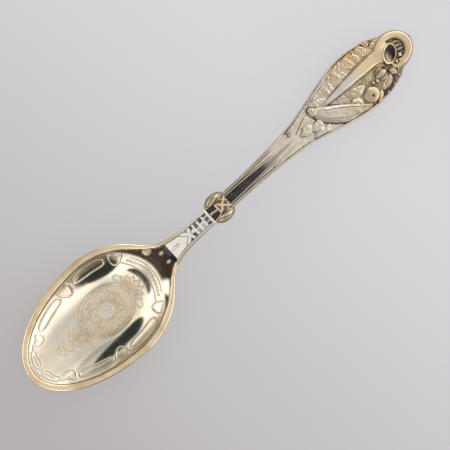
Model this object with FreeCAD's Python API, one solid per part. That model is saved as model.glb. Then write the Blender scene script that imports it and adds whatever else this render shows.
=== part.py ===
import FreeCAD, Part
import math
import os

# Gilt commemorative teaspoon, lying on a table as it is photographed: bowl open upwards,
# resting on a small worn flat under the bowl and on the back of the handle's end.
# Millimetres and degrees. +X runs from the bowl to the handle's end, +Y to the left of it, +Z up.
# The pieces are soldered: the neck laps under the heel of the bowl, and the handle's tenon
# goes down through the knop and the collar into the neck's socket.

# Bowl: an egg-shaped dish, two half ovals joined at its widest line
bowl_tip_reach = 28.4
bowl_heel_reach = 19.6
bowl_width = 31.0
bowl_depth = 7.4
bowl_wall = 0.9
dish_strips = 16
bowl_tilt = 2.5
rest_flat_depth = 0.10
rim_width = 1.9
rim_thickness = 1.3
rim_chamfer = 0.35

# Heel of the bowl, which flares out of the neck and is hollowed by a trough on its upper side
heel_length = 6.0
heel_width = 16.4
heel_thickness = 2.2
heel_lap = 2.6
heel_run_in = 4.0
heel_end_thickness = 1.5
trough_ramp_radius = 9.0
trough_radius = 6.0
trough_sweep = 46.0

# Neck: a struck bar that narrows from the seam with the bowl to the collar
neck_length = 14.8
seam_width = 8.0
neck_width = 5.0
neck_thickness = 2.6
neck_chamfer = 0.6
neck_angle = 15.0
drop_length = 12.6
drop_lap = 1.2
drop_width = 4.8
drop_end_width = 1.6
drop_height = 2.0
drop_middle_height = 2.6
drop_end_height = 0.5
course_count = 4
first_course_offset = 0.5
course_pitch = 1.55
course_depth = 0.22
course_line = 0.35
strip_width = 0.7
strip_angle = 32.0

# Collar and knop, bored for the tenon
collar_thickness = 0.5
collar_width = 6.4
collar_height = 4.4
knop_length = 6.3
knop_width = 8.4
knop_height = 5.8
knop_end_width = 5.4
knop_end_height = 3.8
knop_angle = 5.0
strap_width = 0.7
strap_height = 0.25
strap_angle = 33.0
tenon_diameter = 1.4
tenon_grip = 4.5
solder_gap = 0.05

# Handle: fluted stem, then the flat terminal plate
stem_straight = 1.2
stem_length = 22.4
stem_width = 5.2
stem_waist_width = 5.1
stem_end_width = 7.3
stem_thickness = 3.0
stem_chamfer = 0.5
flute_width = 1.9
flute_depth = 0.75
flute_line_width = 0.36
flute_end_width = 0.3
flute_line_depth = 0.25
plate_length = 43.9
plate_width = 16.7
plate_thickness = 1.8
plate_chamfer = 0.45
plate_widest = 25.2
crown_length = 6.7
crown_width = 10.6
shoulder_reach = 15.2

# Relief on the plate. Places are (distance back from the crown's centre, distance to the left).
horn_tip = (24.8, 1.6)
horn_throat = (2.0, 1.6)
horn_waist = (11.5, 1.6)
horn_tip_width = 1.4
horn_waist_width = 2.9
horn_throat_width = 5.0
horn_sink = 0.3
mouth_centre = (0.9, 0.5)
mouth_length = 5.8
mouth_width = 3.7
mouth_height = 2.1
mouth_lip = 0.35
mouth_depth = 0.8
mouth_angle = 47.0
crest_height = 1.35
crest_margin = 0.55
crest_vein = 0.32
crest_vein_angle = 12.0
long_leaf_foot = (29.0, 3.8)
long_leaf_angle = -38.0
long_leaf_length = 17.6
long_leaf_width = 4.3
long_leaf_height = 1.35
vein_width = 0.35
vein_depth = 0.25
# Each fruit: place and diameter
fruits = (((6.9, -2.9), 3.4), ((12.3, -5.1), 4.2))
# Each leaf: the place of its foot, its turn from the handle's axis, its length and its width
spray_leaves = (
    ((23.0, 3.2), 20, 5.8, 2.2), ((18.2, 4.0), 20, 6.2, 2.6),
    ((13.0, 4.6), 14, 6.4, 2.7), ((7.6, 5.1), 2, 5.4, 2.4),
)
spray_leaf_height = 0.9
pods = (
    ((10.6, -5.6), 24, 5.6, 2.6), ((17.0, -2.0), -6, 6.4, 2.4),
    ((16.4, -4.0), -52, 4.4, 2.0), ((5.6, -3.6), -4, 4.0, 2.4),
)
pod_height = 1.1
husk_leaves = (((27.6, 0.4), 176, 9.0, 2.2), ((27.8, -2.4), 172, 7.4, 2.0), ((28.8, 2.7), 184, 6.6, 1.9))
husk_leaf_height = 0.65
least_piece = 0.5
oval_sides = 20

Vector = FreeCAD.Vector
Y_AXIS = Vector(0, 1, 0)
Z_AXIS = Vector(0, 0, 1)
ORIGIN = Vector(0, 0, 0)

bowl_half = bowl_width / 2
crown_centre = plate_length - crown_length


# ---------------------------------------------------------------- small geometry helpers

def stretched(shape, x_factor, y_factor=1.0, z_factor=1.0):
    """The shape scaled by itself along each axis, about the origin."""
    matrix = FreeCAD.Matrix()
    matrix.scale(x_factor, y_factor, z_factor)
    return shape.transformGeometry(matrix)


def placed(shape, position, angle, axis=Y_AXIS):
    """The shape turned about an axis through the origin, then moved."""
    moved = shape.copy()
    moved.Placement = FreeCAD.Placement(position, FreeCAD.Rotation(axis, angle)).multiply(moved.Placement)
    return moved


def bar_section(width, thickness, chamfer):
    """A closed rectangle with chamfered corners in the YZ plane, centred on the origin."""
    half_w, half_t = width / 2, thickness / 2
    cut = min(chamfer, 0.9 * half_w, 0.9 * half_t)
    corners = [
        (half_w - cut, half_t), (cut - half_w, half_t), (-half_w, half_t - cut), (-half_w, cut - half_t),
        (cut - half_w, -half_t), (half_w - cut, -half_t), (half_w, cut - half_t), (half_w, half_t - cut),
    ]
    points = [Vector(0, y, z) for y, z in corners]
    return Part.makePolygon(points + points[:1])


def flat_oval(half_x, half_y, z=0.0):
    """A closed oval in the XY plane, as a fine polygon."""
    angles = [2 * math.pi * n / oval_sides for n in range(oval_sides)]
    points = [Vector(half_x * math.cos(a), half_y * math.sin(a), z) for a in angles]
    return Part.makePolygon(points + points[:1])


def turned_ball(radius, bands=8, sweep=180):
    """A ball as a turner cuts it, in straight bands from its upper pole on Z down to the sweep."""
    angles = [math.radians(sweep) * n / bands for n in range(bands + 1)]
    points = [Vector(radius * math.sin(a), 0, radius * math.cos(a)) for a in angles]
    if sweep < 180:
        points.append(Vector(0, 0, points[-1].z))
    return Part.Face(Part.makePolygon(points + points[:1])).revolve(ORIGIN, Z_AXIS, 360)


def half_oval(reach, half_width, towards):
    """Half an oval in the XY plane, from one side to the other by way of x = towards * reach."""
    arc = Part.Arc(Vector(0, -towards, 0), Vector(towards, 0, 0), Vector(0, towards, 0)).toShape()
    return stretched(arc, reach, half_width).Edges[0]


def lens(length, width):
    """A pointed leaf outline from the origin along +X, made of two arcs."""
    tip, middle = Vector(length, 0, 0), length * 0.45
    sides = [Part.Arc(ORIGIN, Vector(middle, s * width / 2, 0), tip).toShape() for s in (1, -1)]
    return Part.Wire(sides)


def prism(wire, height, direction=Z_AXIS):
    """A solid from a closed flat wire."""
    return Part.Face(wire).extrude(direction * height)


def above_face(shape):
    """The part of a shape above its own XY plane."""
    slab = Part.makeBox(
        3 * plate_length, 3 * plate_width, plate_width, Vector(-plate_length, -1.5 * plate_width, 0))
    return shape.common(slab)


def single_solid(shape):
    """The one solid of a boolean result, with its split faces merged where they can be."""
    whole = shape.removeSplitter()
    if len(whole.Solids) != 1:
        raise ValueError("expected one solid, and got %d" % len(whole.Solids))
    return whole.Solids[0]


# ---------------------------------------------------------------- the spoon's side profile

def walk(start_x, start_z, legs):
    """Points of a side profile: legs are (length, angle at its start, angle at its end).

    Returns a function of the distance walked that gives x, z and the angle above the horizon.
    """
    def at(distance):
        x, z = start_x, start_z
        for length, first, last in legs:
            part = min(distance, length)
            if (length, first, last) == legs[-1]:
                part = distance
            turn = math.radians(last - first) * part / length
            a = math.radians(first)
            if abs(turn) < 1e-9:
                x, z = x + part * math.cos(a), z + part * math.sin(a)
            else:
                radius = part / turn
                x += radius * (math.sin(a + turn) - math.sin(a))
                z -= radius * (math.cos(a + turn) - math.cos(a))
            distance -= part
            if distance <= 1e-9:
                return x, z, math.degrees(a + turn)
        return x, z, math.degrees(a + turn)
    return at


tilt = math.radians(bowl_tilt)
rim_edge = 0.35 * rim_width


def lowest_point_drop():
    """How far the tilted dish's lowest point lies below the point under its widest line."""
    reach = bowl_tip_reach - rim_edge
    return (math.tan(tilt) * reach) ** 2 / (4 * (bowl_depth + bowl_wall))


rim_height = bowl_depth + bowl_wall + lowest_point_drop() - rest_flat_depth
heel_reach = bowl_heel_reach + heel_lap - heel_length
heel_x = bowl_tip_reach + heel_reach
heel_z = rim_height + heel_reach * math.tan(tilt) + rim_thickness / 2 - neck_thickness / 2

# Distances along the side profile, from the inner end of the heel
seam_at = heel_length
collar_at = seam_at + neck_length
knop_at = collar_at + collar_thickness
stem_at = knop_at + knop_length
plate_at = stem_at + stem_straight + stem_length


def legs_for(fall):
    """The side profile's legs from the heel to the handle's end, for a plate that falls at this angle."""
    return [
        (heel_length, bowl_tilt, neck_angle),
        (neck_length, neck_angle, knop_angle),
        (collar_thickness + knop_length + stem_straight, knop_angle, knop_angle),
        (stem_length, knop_angle, -fall),
        (plate_length, -fall, -fall),
    ]


def end_clearance(fall):
    """Height of the lowest point of the handle's end above the table."""
    x, z, angle = walk(heel_x, heel_z, legs_for(fall))(plate_at + plate_length - plate_chamfer)
    flat_part = plate_thickness / 2 - plate_chamfer
    return z - flat_part * math.cos(math.radians(angle)) - plate_chamfer


def landing_angle():
    """The fall of the plate at which the handle's end just rests on the table."""
    low, high = 0.0, 45.0
    for _ in range(50):
        middle = (low + high) / 2
        if end_clearance(middle) > 0:
            low = middle
        else:
            high = middle
    return low


plate_fall = landing_angle()
spine = walk(heel_x, heel_z, legs_for(plate_fall))


def on_spine(shape, distance, rise=0.0):
    """Puts a shape drawn about the origin, with +X along the spoon, at a distance along the spine."""
    x, z, angle = spine(distance)
    a = math.radians(angle)
    position = Vector(x - rise * math.sin(a), 0, z + rise * math.cos(a))
    return placed(shape, position, -angle)


def spine_loft(stations):
    """A solid through chamfered bars: stations are (distance, width, thickness, corner)."""
    return Part.makeLoft([on_spine(bar_section(w, t, c), d) for d, w, t, c in stations], True, False)


# ---------------------------------------------------------------- bowl

def bowl_underside(x):
    """Height of the bowl's underside on its middle line, on the heel's side of the widest line."""
    along = x - bowl_tip_reach
    share = along / (bowl_heel_reach - rim_edge)
    depth = bowl_depth + bowl_wall
    return rim_height + along * math.tan(tilt) - depth * (1 - share ** 2)


def parabola(start, apex_side, end):
    """A parabola's arc in the XZ plane: apex_side is where the tangents at its two ends meet."""
    curve = Part.BezierCurve()
    curve.setPoles([start, apex_side, end])
    return curve.toShape()


def dish_section(tip_reach, heel_reach, depth, lift, top):
    """The dish's lengthwise section: a parabola towards each end, raised by lift and closed at top."""
    spread = 1.15
    far = depth * spread ** 2 - depth + lift
    low = lift - depth
    tip, heel = -tip_reach * spread, heel_reach * spread
    points = [Vector(tip, 0, far), Vector(heel, 0, far), Vector(heel, 0, top), Vector(tip, 0, top)]
    bottom = Vector(0, 0, low)
    return Part.Wire([
        parabola(points[0], Vector(tip / 2, 0, low), bottom),
        parabola(bottom, Vector(heel / 2, 0, low), points[1]),
        Part.makeLine(points[1], points[2]),
        Part.makeLine(points[2], points[3]),
        Part.makeLine(points[3], points[0]),
    ])


def dish_solid(tip_reach, heel_reach, half_width, depth, rise=0.0):
    """A filled dish, a parabola carried along a parabola in fine strips, with upright walls on its rim."""
    spread = 1.15
    top = 2 * depth
    sections = []
    for n in range(dish_strips + 1):
        share = 2 * n / dish_strips - 1
        section = dish_section(tip_reach, heel_reach, depth, depth * (spread * share) ** 2, top)
        section.translate(Vector(0, share * spread * half_width, 0))
        sections.append(section)
    halves = [half_oval(tip_reach, half_width, -1), half_oval(heel_reach, half_width, 1)]
    drum = prism(Part.Wire(Part.__sortEdges__(halves)), depth + rise + 1)
    drum.translate(Vector(0, 0, -depth - 1))
    return Part.makeLoft(sections, True, True).common(drum)


def rim_plate():
    """The moulded rim before the dish is opened: an oval plate with chamfered edges."""
    halves = [half_oval(bowl_tip_reach, bowl_half, -1), half_oval(bowl_heel_reach, bowl_half, 1)]
    plate = prism(Part.Wire(Part.__sortEdges__(halves)), rim_thickness)
    plate.translate(Vector(0, 0, -rim_thickness / 2))
    edges = [edge for edge in plate.Edges if edge.BoundBox.ZLength < 1e-6]
    return plate.makeChamfer(rim_chamfer, edges)


def rim_frame(shape):
    """Puts a shape from the bowl's own frame, with its rim plane at z = 0, into the spoon's frame."""
    return placed(shape, Vector(bowl_tip_reach, 0, rim_height), -bowl_tilt)


def heel_flare():
    """The fishtail that carries the neck's section back into the bowl's wall."""
    stations = []
    for share, swell in ((0.0, 0.0), (0.25, 0.11), (0.5, 0.34), (0.75, 0.68), (1.0, 1.0)):
        width = seam_width + (heel_width - seam_width) * swell
        thickness = neck_thickness + (heel_thickness - neck_thickness) * share
        stations.append((seam_at - share * heel_length, width, thickness, neck_chamfer))
    stations.append((-heel_run_in, heel_width, heel_end_thickness, neck_chamfer))
    return spine_loft(stations)


def heel_trough():
    """The hollow that rises from the bowl's heel wall and runs out on the neck, as a cutter."""
    x, z, _ = spine(seam_at)
    top = z + neck_thickness / 2 + 0.25
    pivot = Vector(x + 0.8, 0, top - trough_ramp_radius)
    tube = Part.Face(Part.Wire(Part.Circle(
        pivot + Vector(0, 0, trough_ramp_radius + trough_radius), Vector(1, 0, 0), trough_radius).toShape()))
    return tube.revolve(pivot, Vector(0, -1, 0), trough_sweep)


def bowl_body():
    """The bowl as one pressing, and the filled outer shape that the neck's drop is fitted to."""
    outer = rim_frame(dish_solid(
        bowl_tip_reach - rim_edge, bowl_heel_reach - rim_edge, bowl_half - rim_edge,
        bowl_depth + bowl_wall))
    inset = rim_edge + 1.25 * bowl_wall
    inner = rim_frame(dish_solid(
        bowl_tip_reach - inset, bowl_heel_reach - inset, bowl_half - inset, bowl_depth,
        heel_thickness))
    filled = outer.fuse([rim_frame(rim_plate()), heel_flare()])
    below_table = Part.makeBox(
        3 * bowl_tip_reach, 2 * bowl_width, bowl_depth, Vector(-bowl_tip_reach, -bowl_width, -bowl_depth))
    filled = filled.cut(below_table)
    return single_solid(filled.cut([inner, heel_trough()])), filled


# ---------------------------------------------------------------- neck, collar and knop

def neck_drop():
    """The tongue from the neck's underside down on to the bowl's, before it is fitted to the bowl."""
    x, z, _ = spine(seam_at + drop_lap)
    start = Vector(x, 0, z - neck_thickness / 2)
    end_x = x - drop_length
    end = Vector(end_x, 0, bowl_underside(end_x))
    sections = []
    heights = (drop_height, drop_middle_height, drop_end_height)
    for share, height in zip((0.0, 0.5, 1.0), heights):
        width = drop_width + (drop_end_width - drop_width) * share ** 2
        section = bar_section(width, height, 0.3 * width)
        section.translate(start + (end - start) * share + Vector(0, 0, height / 2))
        sections.append(section)
    return Part.makeLoft(sections, True, False)


def course_cutters():
    """Shallow cuts between the brick courses and the crossed strips on the neck's face."""
    cuts = []
    top = neck_thickness / 2
    for n in range(course_count):
        line = Part.makeBox(course_line, neck_width, course_depth * 2)
        line.translate(Vector(-course_line / 2, -neck_width / 2, -course_depth))
        distance = collar_at - first_course_offset - n * course_pitch
        cuts.append(on_spine(line, distance, top))
        joints = (-0.3, 0.3) if n % 2 else (0.0,)
        for share in joints:
            joint = Part.makeBox(course_pitch, course_line, course_depth * 2)
            joint.translate(Vector(-course_pitch, share * neck_width - course_line / 2, -course_depth))
            cuts.append(on_spine(joint, distance, top))
    crossing = collar_at - first_course_offset - (course_count + 1.2) * course_pitch
    reach = 1.35 * neck_width
    groove = Part.makeBox(reach, course_line, course_depth * 2)
    groove.translate(Vector(-reach / 2, -course_line / 2, -course_depth))
    for lean in (strip_angle, -strip_angle):
        for side in (-1, 1):
            strip = groove.copy()
            strip.translate(Vector(0, side * strip_width / 2, 0))
            cuts.append(on_spine(placed(strip, ORIGIN, lean, Z_AXIS), crossing, top))
    return cuts


def neck_body(bowl_filled):
    """The struck neck with its drop, fitted under the bowl, and its socket for the tenon."""
    stations = []
    for share, narrowing in ((0.0, 0.0), (0.14, 0.30), (0.35, 0.72), (0.65, 0.93), (1.0, 1.0)):
        width = seam_width - narrowing * (seam_width - neck_width)
        stations.append((seam_at + share * neck_length, width, neck_thickness, neck_chamfer))
    socket_depth = tenon_grip + solder_gap
    bore = Part.makeCylinder(
        tenon_diameter / 2 + solder_gap, socket_depth + 1, Vector(-socket_depth, 0, 0), Vector(1, 0, 0))
    bar = spine_loft(stations).cut(course_cutters() + [on_spine(bore, collar_at)])
    return single_solid(bar.fuse(neck_drop().cut(bowl_filled)))


def tenon_bore(length, distance):
    """The hole for the tenon through a piece that starts at this distance along the spine."""
    bore = Part.makeCylinder(
        tenon_diameter / 2 + solder_gap, length + 2, Vector(-1, 0, 0), Vector(1, 0, 0))
    return on_spine(bore, distance)


def collar_body():
    """The thin ring between neck and knop."""
    ring = prism(bar_section(collar_width, collar_height, 1.4), collar_thickness, Vector(1, 0, 0))
    return on_spine(ring, collar_at).cut(tenon_bore(collar_thickness, collar_at))


def knop_body():
    """The boss: two full round lobes side by side, with two straps that cross over them."""
    middle = Vector(knop_length / 2, 0, 0)
    lobe_radius = knop_height / 2
    spread = knop_width / 2 - lobe_radius
    shapes = [placed(turned_ball(lobe_radius, 6), Vector(0, side * spread, 0), 0) for side in (1, -1)]
    for lean in (strap_angle, -strap_angle):
        start = Vector(0, -strap_width / 2, 0)
        band = Part.makeCylinder(lobe_radius + strap_height, strap_width, start, Y_AXIS)
        band = band.cut(Part.makeCylinder(lobe_radius - strap_height, strap_width, start, Y_AXIS))
        shapes.append(above_face(placed(band, ORIGIN, lean, Z_AXIS)))
    core = prism(bar_section(knop_end_width, knop_end_height, 1.2), knop_length, Vector(1, 0, 0))
    core.translate(Vector(-knop_length / 2, 0, 0))
    boss = core.fuse(shapes)
    boss.translate(middle)
    return single_solid(on_spine(boss, knop_at).cut(tenon_bore(knop_length, knop_at)))


# ---------------------------------------------------------------- handle

def flute_cutter(start, end, width, end_width, depth):
    """A groove with sloping sides that tapers along the stem's face: start and end are offsets across it."""
    sections = []
    steps = 4
    for n in range(steps + 1):
        share = n / steps
        half = (width + (end_width - width) * share) / 2
        across = start + (end - start) * share
        floor = -depth * half / (width / 2)
        lift = 0.4
        corners = [(half * 1.1, lift), (-half * 1.1, lift), (-half * 0.45, floor), (half * 0.45, floor)]
        points = [Vector(0, across + y, z) for y, z in corners]
        distance = stem_at - 0.5 + share * (plate_at - stem_at + 0.5)
        section = Part.makePolygon(points + points[:1])
        sections.append(on_spine(section, distance, stem_top(distance)))
    return Part.makeLoft(sections, True, False)


def stem_sizes(distance):
    """Width and thickness of the stem at a distance along the spine."""
    along = (distance - stem_at) / (plate_at - stem_at)
    spread = max(0.0, along) ** 2.2
    waist = 4 * along * (1 - along) * (stem_width - stem_waist_width)
    width = stem_width - waist + (stem_end_width - stem_width) * spread
    thickness = stem_thickness + (plate_thickness - stem_thickness) * max(0.0, along) ** 1.5
    return width, thickness


def stem_top(distance):
    """Height of the stem's face above the spine."""
    return stem_sizes(max(distance, stem_at))[1] / 2


def shoulder_notch():
    """Where the leaf shape's end meets the crown: distance along the plate and half width there."""
    low, high = plate_widest, crown_centre + 0.5 * crown_length
    for _ in range(50):
        x = (low + high) / 2
        if leaf_half_width(x) > crown_half_width(x):
            low = x
        else:
            high = x
    return Vector(low, crown_half_width(low), 0)


def leaf_half_width(x):
    """Half width of the leaf shape beyond its widest line."""
    return plate_width / 2 * math.sqrt(max(0.0, 1 - ((x - plate_widest) / shoulder_reach) ** 2))


def crown_half_width(x):
    """Half width of the oval crown."""
    share = (x - crown_centre) / crown_length
    return crown_width / 2 * math.sqrt(max(0.0, 1 - share ** 2))


def arc_between(centre_x, reach, half_width, start, end):
    """Part of an oval in the plate's frame, from start to end."""
    middle_y = (start.y + end.y) / 2
    middle_x = centre_x + reach * math.sqrt(1 - (middle_y / half_width) ** 2)
    flat = [Vector((p.x - centre_x) / reach, p.y / half_width, 0)
            for p in (start, Vector(middle_x, middle_y, 0), end)]
    arc = stretched(Part.Arc(*flat).toShape(), reach, half_width)
    arc.translate(Vector(centre_x, 0, 0))
    return arc.Edges[0]


def plate_outline():
    """The terminal's outline in its own frame: a long leaf shape, and the crown that ends it."""
    half_start, half_wide = stem_end_width / 2, plate_width / 2
    growth = half_wide - half_start
    corners = [
        Vector(share * plate_widest, half_start + swell * growth, 0)
        for share, swell in ((0.0, 0.0), (0.22, 0.185), (0.48, 0.56), (0.76, 0.905), (1.0, 1.0))
    ]
    notch = shoulder_notch()
    sides = []
    for mirror in (1, -1):
        curve = Part.BSplineCurve()
        curve.interpolate(
            Points=[Vector(p.x, mirror * p.y, 0) for p in corners],
            InitialTangent=Vector(1, mirror * 0.16, 0), FinalTangent=Vector(1, 0, 0))
        widest = Vector(plate_widest, mirror * half_wide, 0)
        shoulder = Vector(notch.x, mirror * notch.y, 0)
        sides += [curve.toShape(), arc_between(plate_widest, shoulder_reach, half_wide, widest, shoulder)]
        sides.append(arc_between(
            crown_centre, crown_length, crown_width / 2, shoulder, Vector(plate_length, 0, 0)))
    foot = Part.makeLine(corners[0], Vector(0, -half_start, 0))
    return Part.Wire(Part.__sortEdges__(sides + [foot]))


def on_plate(shape):
    """Puts a shape from the plate's frame, with the plate's face at z = 0, into the spoon's frame."""
    return on_spine(shape, plate_at, plate_thickness / 2)


def plate_body():
    """The terminal plate, with its edges chamfered except where it meets the stem."""
    slab = prism(plate_outline(), plate_thickness)
    slab.translate(Vector(0, 0, -plate_thickness))
    outline_edges = [
        edge for edge in slab.Edges
        if edge.BoundBox.ZLength < 1e-6 and edge.BoundBox.XMax > 1e-3
    ]
    return on_plate(slab.makeChamfer(plate_chamfer, outline_edges))


def handle_body():
    """Tenon, fluted stem and plate in one piece."""
    stations = []
    steps = 6
    for n in range(steps + 1):
        distance = stem_at + n / steps * (plate_at - stem_at)
        width, thickness = stem_sizes(distance)
        chamfer = stem_chamfer + (plate_chamfer - stem_chamfer) * n / steps
        stations.append((distance, width, thickness, chamfer))
    stem = spine_loft(stations)
    line = flute_line_width
    beside = flute_width / 2 + 1.6 * line
    cuts = [flute_cutter(0, 0, flute_width, flute_end_width, flute_depth)]
    for side in (1, -1):
        cuts.append(flute_cutter(
            side * beside, side * (beside - flute_width / 4), line, line / 2, flute_line_depth))
    tenon_length = knop_length + collar_thickness + tenon_grip
    tenon = Part.makeCylinder(
        tenon_diameter / 2, tenon_length + 1, Vector(-tenon_length, 0, 0), Vector(1, 0, 0))
    return single_solid(stem.cut(cuts).fuse([plate_body(), on_spine(tenon, stem_at)]))


# ---------------------------------------------------------------- relief on the plate

def leaf_relief(length, width, height):
    """A domed leaf on the plate's face, from the origin along +X, with a groove for its midrib."""
    body = prism(lens(length, width), height * 2)
    radius = (width * width / 4 + height * height) / (2 * height) + 0.1 * width
    dome = Part.makeCylinder(radius, length, Vector(0, 0, height - radius), Vector(1, 0, 0))
    groove = Part.makeBox(length * 0.72, vein_width, height)
    groove = placed(groove, Vector(0.12 * length, 0, height - vein_depth * 1.5), 45, Vector(1, 0, 0))
    return body.common(dome).cut(groove)


def laid(shape, place, turn=0.0):
    """Turns a relief shape on the plate's face and moves it to its place."""
    back, left = place
    return placed(shape, Vector(crown_centre - back, left, 0), turn, Z_AXIS)


def balls(placed_sizes):
    """Round fruits, half sunk in the plate's face."""
    return [
        laid(turned_ball(size / 2, 3, 90), place)
        for place, size in placed_sizes
    ]


def leaves(placed_leaves, height):
    """Small leaves, each turned on its own foot."""
    return [
        laid(leaf_relief(length, width, height), place, turn)
        for place, turn, length, width in placed_leaves
    ]


def horn_relief():
    """The long horn, two cones end to end half sunk in the plate, with its dished oval mouth."""
    body = []
    joints = ((horn_tip, horn_tip_width), (horn_waist, horn_waist_width), (horn_throat, horn_throat_width))
    for (start, start_width), (end, end_width) in zip(joints, joints[1:]):
        run = math.hypot(start[0] - end[0], end[1] - start[1])
        turn = math.degrees(math.atan2(end[1] - start[1], start[0] - end[0]))
        cone = Part.makeCone(
            start_width / 2 + horn_sink / 2, end_width / 2 + horn_sink / 2, run,
            Vector(0, 0, -horn_sink), Vector(1, 0, 0))
        body.append(laid(cone, start, turn))
    body = above_face(body[0].fuse(body[1]))
    mouth = prism(flat_oval(mouth_length / 2, mouth_width / 2), mouth_height)
    rings = []
    for share, height in ((1.0, mouth_height), (0.6, mouth_height - mouth_depth)):
        rings.append(flat_oval(
            share * (mouth_length / 2 - mouth_lip), share * (mouth_width / 2 - mouth_lip), height))
    hollow = Part.makeLoft(rings, True, True)
    return body.fuse(laid(mouth.cut(hollow), mouth_centre, mouth_angle))


def crest_relief():
    """The lobed leaf that wraps the crown, with veins that fan out from the mouth."""
    half_length, half_width = crown_length - crest_margin, crown_width / 2 - crest_margin
    dome = Part.makeLoft([
        flat_oval(half_length * share, half_width * share, crest_height * rise)
        for share, rise in ((1.0, 0.0), (0.96, 0.5), (0.84, 0.86), (0.62, 1.0))], True, True)
    veins = []
    for turn in (-64, -32, 0, 32, 64):
        groove = placed(Part.makeBox(half_length, crest_vein, crest_vein), ORIGIN, 45, Vector(1, 0, 0))
        groove = placed(groove, Vector(half_length * 0.3, 0, crest_height - crest_vein), crest_vein_angle)
        veins.append(placed(groove, ORIGIN, turn, Z_AXIS))
    return laid(dome.cut(veins), (0, 0))


def near(one, other):
    """Whether two shapes' boxes meet."""
    return one.BoundBox.intersect(other.BoundBox)


def relief_nodes():
    """Each relief node as solids that stand on the plate's face and don't overlap."""
    trim = prism(plate_outline(), plate_width)
    long_leaf = leaf_relief(long_leaf_length, long_leaf_width, long_leaf_height)
    raw = {
        "long_leaf": [laid(long_leaf, long_leaf_foot, long_leaf_angle)],
        "horn": [horn_relief()],
        "crest": [crest_relief()],
        "fruit_cluster": balls(fruits) + leaves(pods, pod_height),
        "leaf_spray": leaves(spray_leaves, spray_leaf_height),
        "foot_leaves": leaves(husk_leaves, husk_leaf_height),
    }
    nodes, taken = {}, []
    for name, shapes in raw.items():
        joined = shapes[0].fuse(shapes[1:]) if len(shapes) > 1 else shapes[0]
        joined = joined.common(trim)
        kept = []
        for solid in joined.Solids:
            neighbours = [other for other in taken if near(solid, other)]
            fitted = solid.cut(neighbours) if neighbours else solid
            kept += [piece for piece in fitted.Solids if piece.Volume > least_piece]
        nodes[name] = Part.makeCompound(kept)
        taken += kept
    return {name: on_plate(shape) for name, shape in nodes.items()}


# ---------------------------------------------------------------- assembly

def build():
    """Every node of the spoon, centred over its own length with the table at z = 0."""
    bowl, bowl_filled = bowl_body()
    nodes = {
        "bowl": bowl,
        "neck": neck_body(bowl_filled),
        "collar": collar_body(),
        "knop": knop_body(),
        "handle": handle_body(),
    }
    nodes.update(relief_nodes())
    box = Part.makeCompound(list(nodes.values())).optimalBoundingBox()
    shift = Vector(-(box.XMin + box.XMax) / 2, 0, 0)
    for shape in nodes.values():
        shape.translate(shift)
    print("box mm: %.2f %.2f %.2f to %.2f %.2f %.2f" % (
        box.XMin + shift.x, box.YMin, box.ZMin, box.XMax + shift.x, box.YMax, box.ZMax))
    print("plate fall: %.2f degrees, shift %.3f" % (plate_fall, shift.x))
    return nodes


def main():
    os.makedirs("parts", exist_ok=True)
    for name, shape in build().items():
        print("%-14s solids %d, valid %s, volume %.1f mm3" % (
            name, len(shape.Solids), shape.isValid(), shape.Volume))
        shape.exportStep("parts/%s.step" % name)


main()
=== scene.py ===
import math

import bmesh
import bpy
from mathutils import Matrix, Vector, noise


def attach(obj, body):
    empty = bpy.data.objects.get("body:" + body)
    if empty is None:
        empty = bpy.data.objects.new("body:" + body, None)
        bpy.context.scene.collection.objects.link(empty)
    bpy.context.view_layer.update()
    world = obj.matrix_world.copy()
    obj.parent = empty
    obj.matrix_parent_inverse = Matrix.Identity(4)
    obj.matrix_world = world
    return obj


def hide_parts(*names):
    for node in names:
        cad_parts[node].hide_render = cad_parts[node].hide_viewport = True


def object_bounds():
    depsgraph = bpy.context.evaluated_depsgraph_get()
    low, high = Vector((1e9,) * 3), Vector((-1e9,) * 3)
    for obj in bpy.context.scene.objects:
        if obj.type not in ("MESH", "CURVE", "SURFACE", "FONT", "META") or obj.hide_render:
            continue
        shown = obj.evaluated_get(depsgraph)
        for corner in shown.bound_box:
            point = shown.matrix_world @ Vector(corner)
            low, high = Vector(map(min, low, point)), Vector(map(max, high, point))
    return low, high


# Gilt silver teaspoon, lying on a pale table with its bowl open upwards.
# Shapes are drawn in millimetres: x runs from the bowl's tip to the handle's end, y to the left of it,
# z is the height above the table. A finished piece is scaled to metres and moved into the frame.

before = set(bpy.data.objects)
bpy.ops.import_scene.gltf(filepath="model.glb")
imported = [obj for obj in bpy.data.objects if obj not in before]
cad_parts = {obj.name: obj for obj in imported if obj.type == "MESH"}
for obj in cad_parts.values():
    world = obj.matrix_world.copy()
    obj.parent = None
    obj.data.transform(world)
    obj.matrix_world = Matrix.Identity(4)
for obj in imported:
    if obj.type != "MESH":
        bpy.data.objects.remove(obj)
cad_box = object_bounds()
TIP_X = cad_box[0].x * 1000

# ---------------------------------------------------------------- sizes of the spoon

# The bowl from its widest place to its tip and to its heel, half its width, its depth and its wall
TIP_REACH, HEEL_REACH, BOWL_HALF = 28.4, 19.6, 15.5
BOWL_DEPTH, BOWL_WALL = 7.4, 0.9
# The rolled lip's width and half its height, its width on the heel, and how far within the outline the dish's
# upper and lower sides would reach the lip's middle height
LIP_WIDTH, LIP_HALF, HEEL_LIP_WIDTH = 1.9, 0.65, 1.05
INNER_INSET, OUTER_INSET = 1.79, 0.665
# The lip's middle height at the bowl's widest place, and how it climbs towards the handle
RIM_HEIGHT, TILT = 8.244, math.tan(math.radians(2.5))
# The side profile of neck and handle starts at the heel's inner end, and its last leg falls to the table
HEEL_X, HEEL_Z = 44.6, 8.301
PLATE_FALL = 13.28
# Its legs: length, angle at its start, angle at its end
LEGS = (
    (6.0, 2.5, 15.0), (14.8, 15.0, 5.0), (8.0, 5.0, 5.0),
    (22.4, 5.0, -PLATE_FALL), (43.9, -PLATE_FALL, -PLATE_FALL),
)
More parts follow.
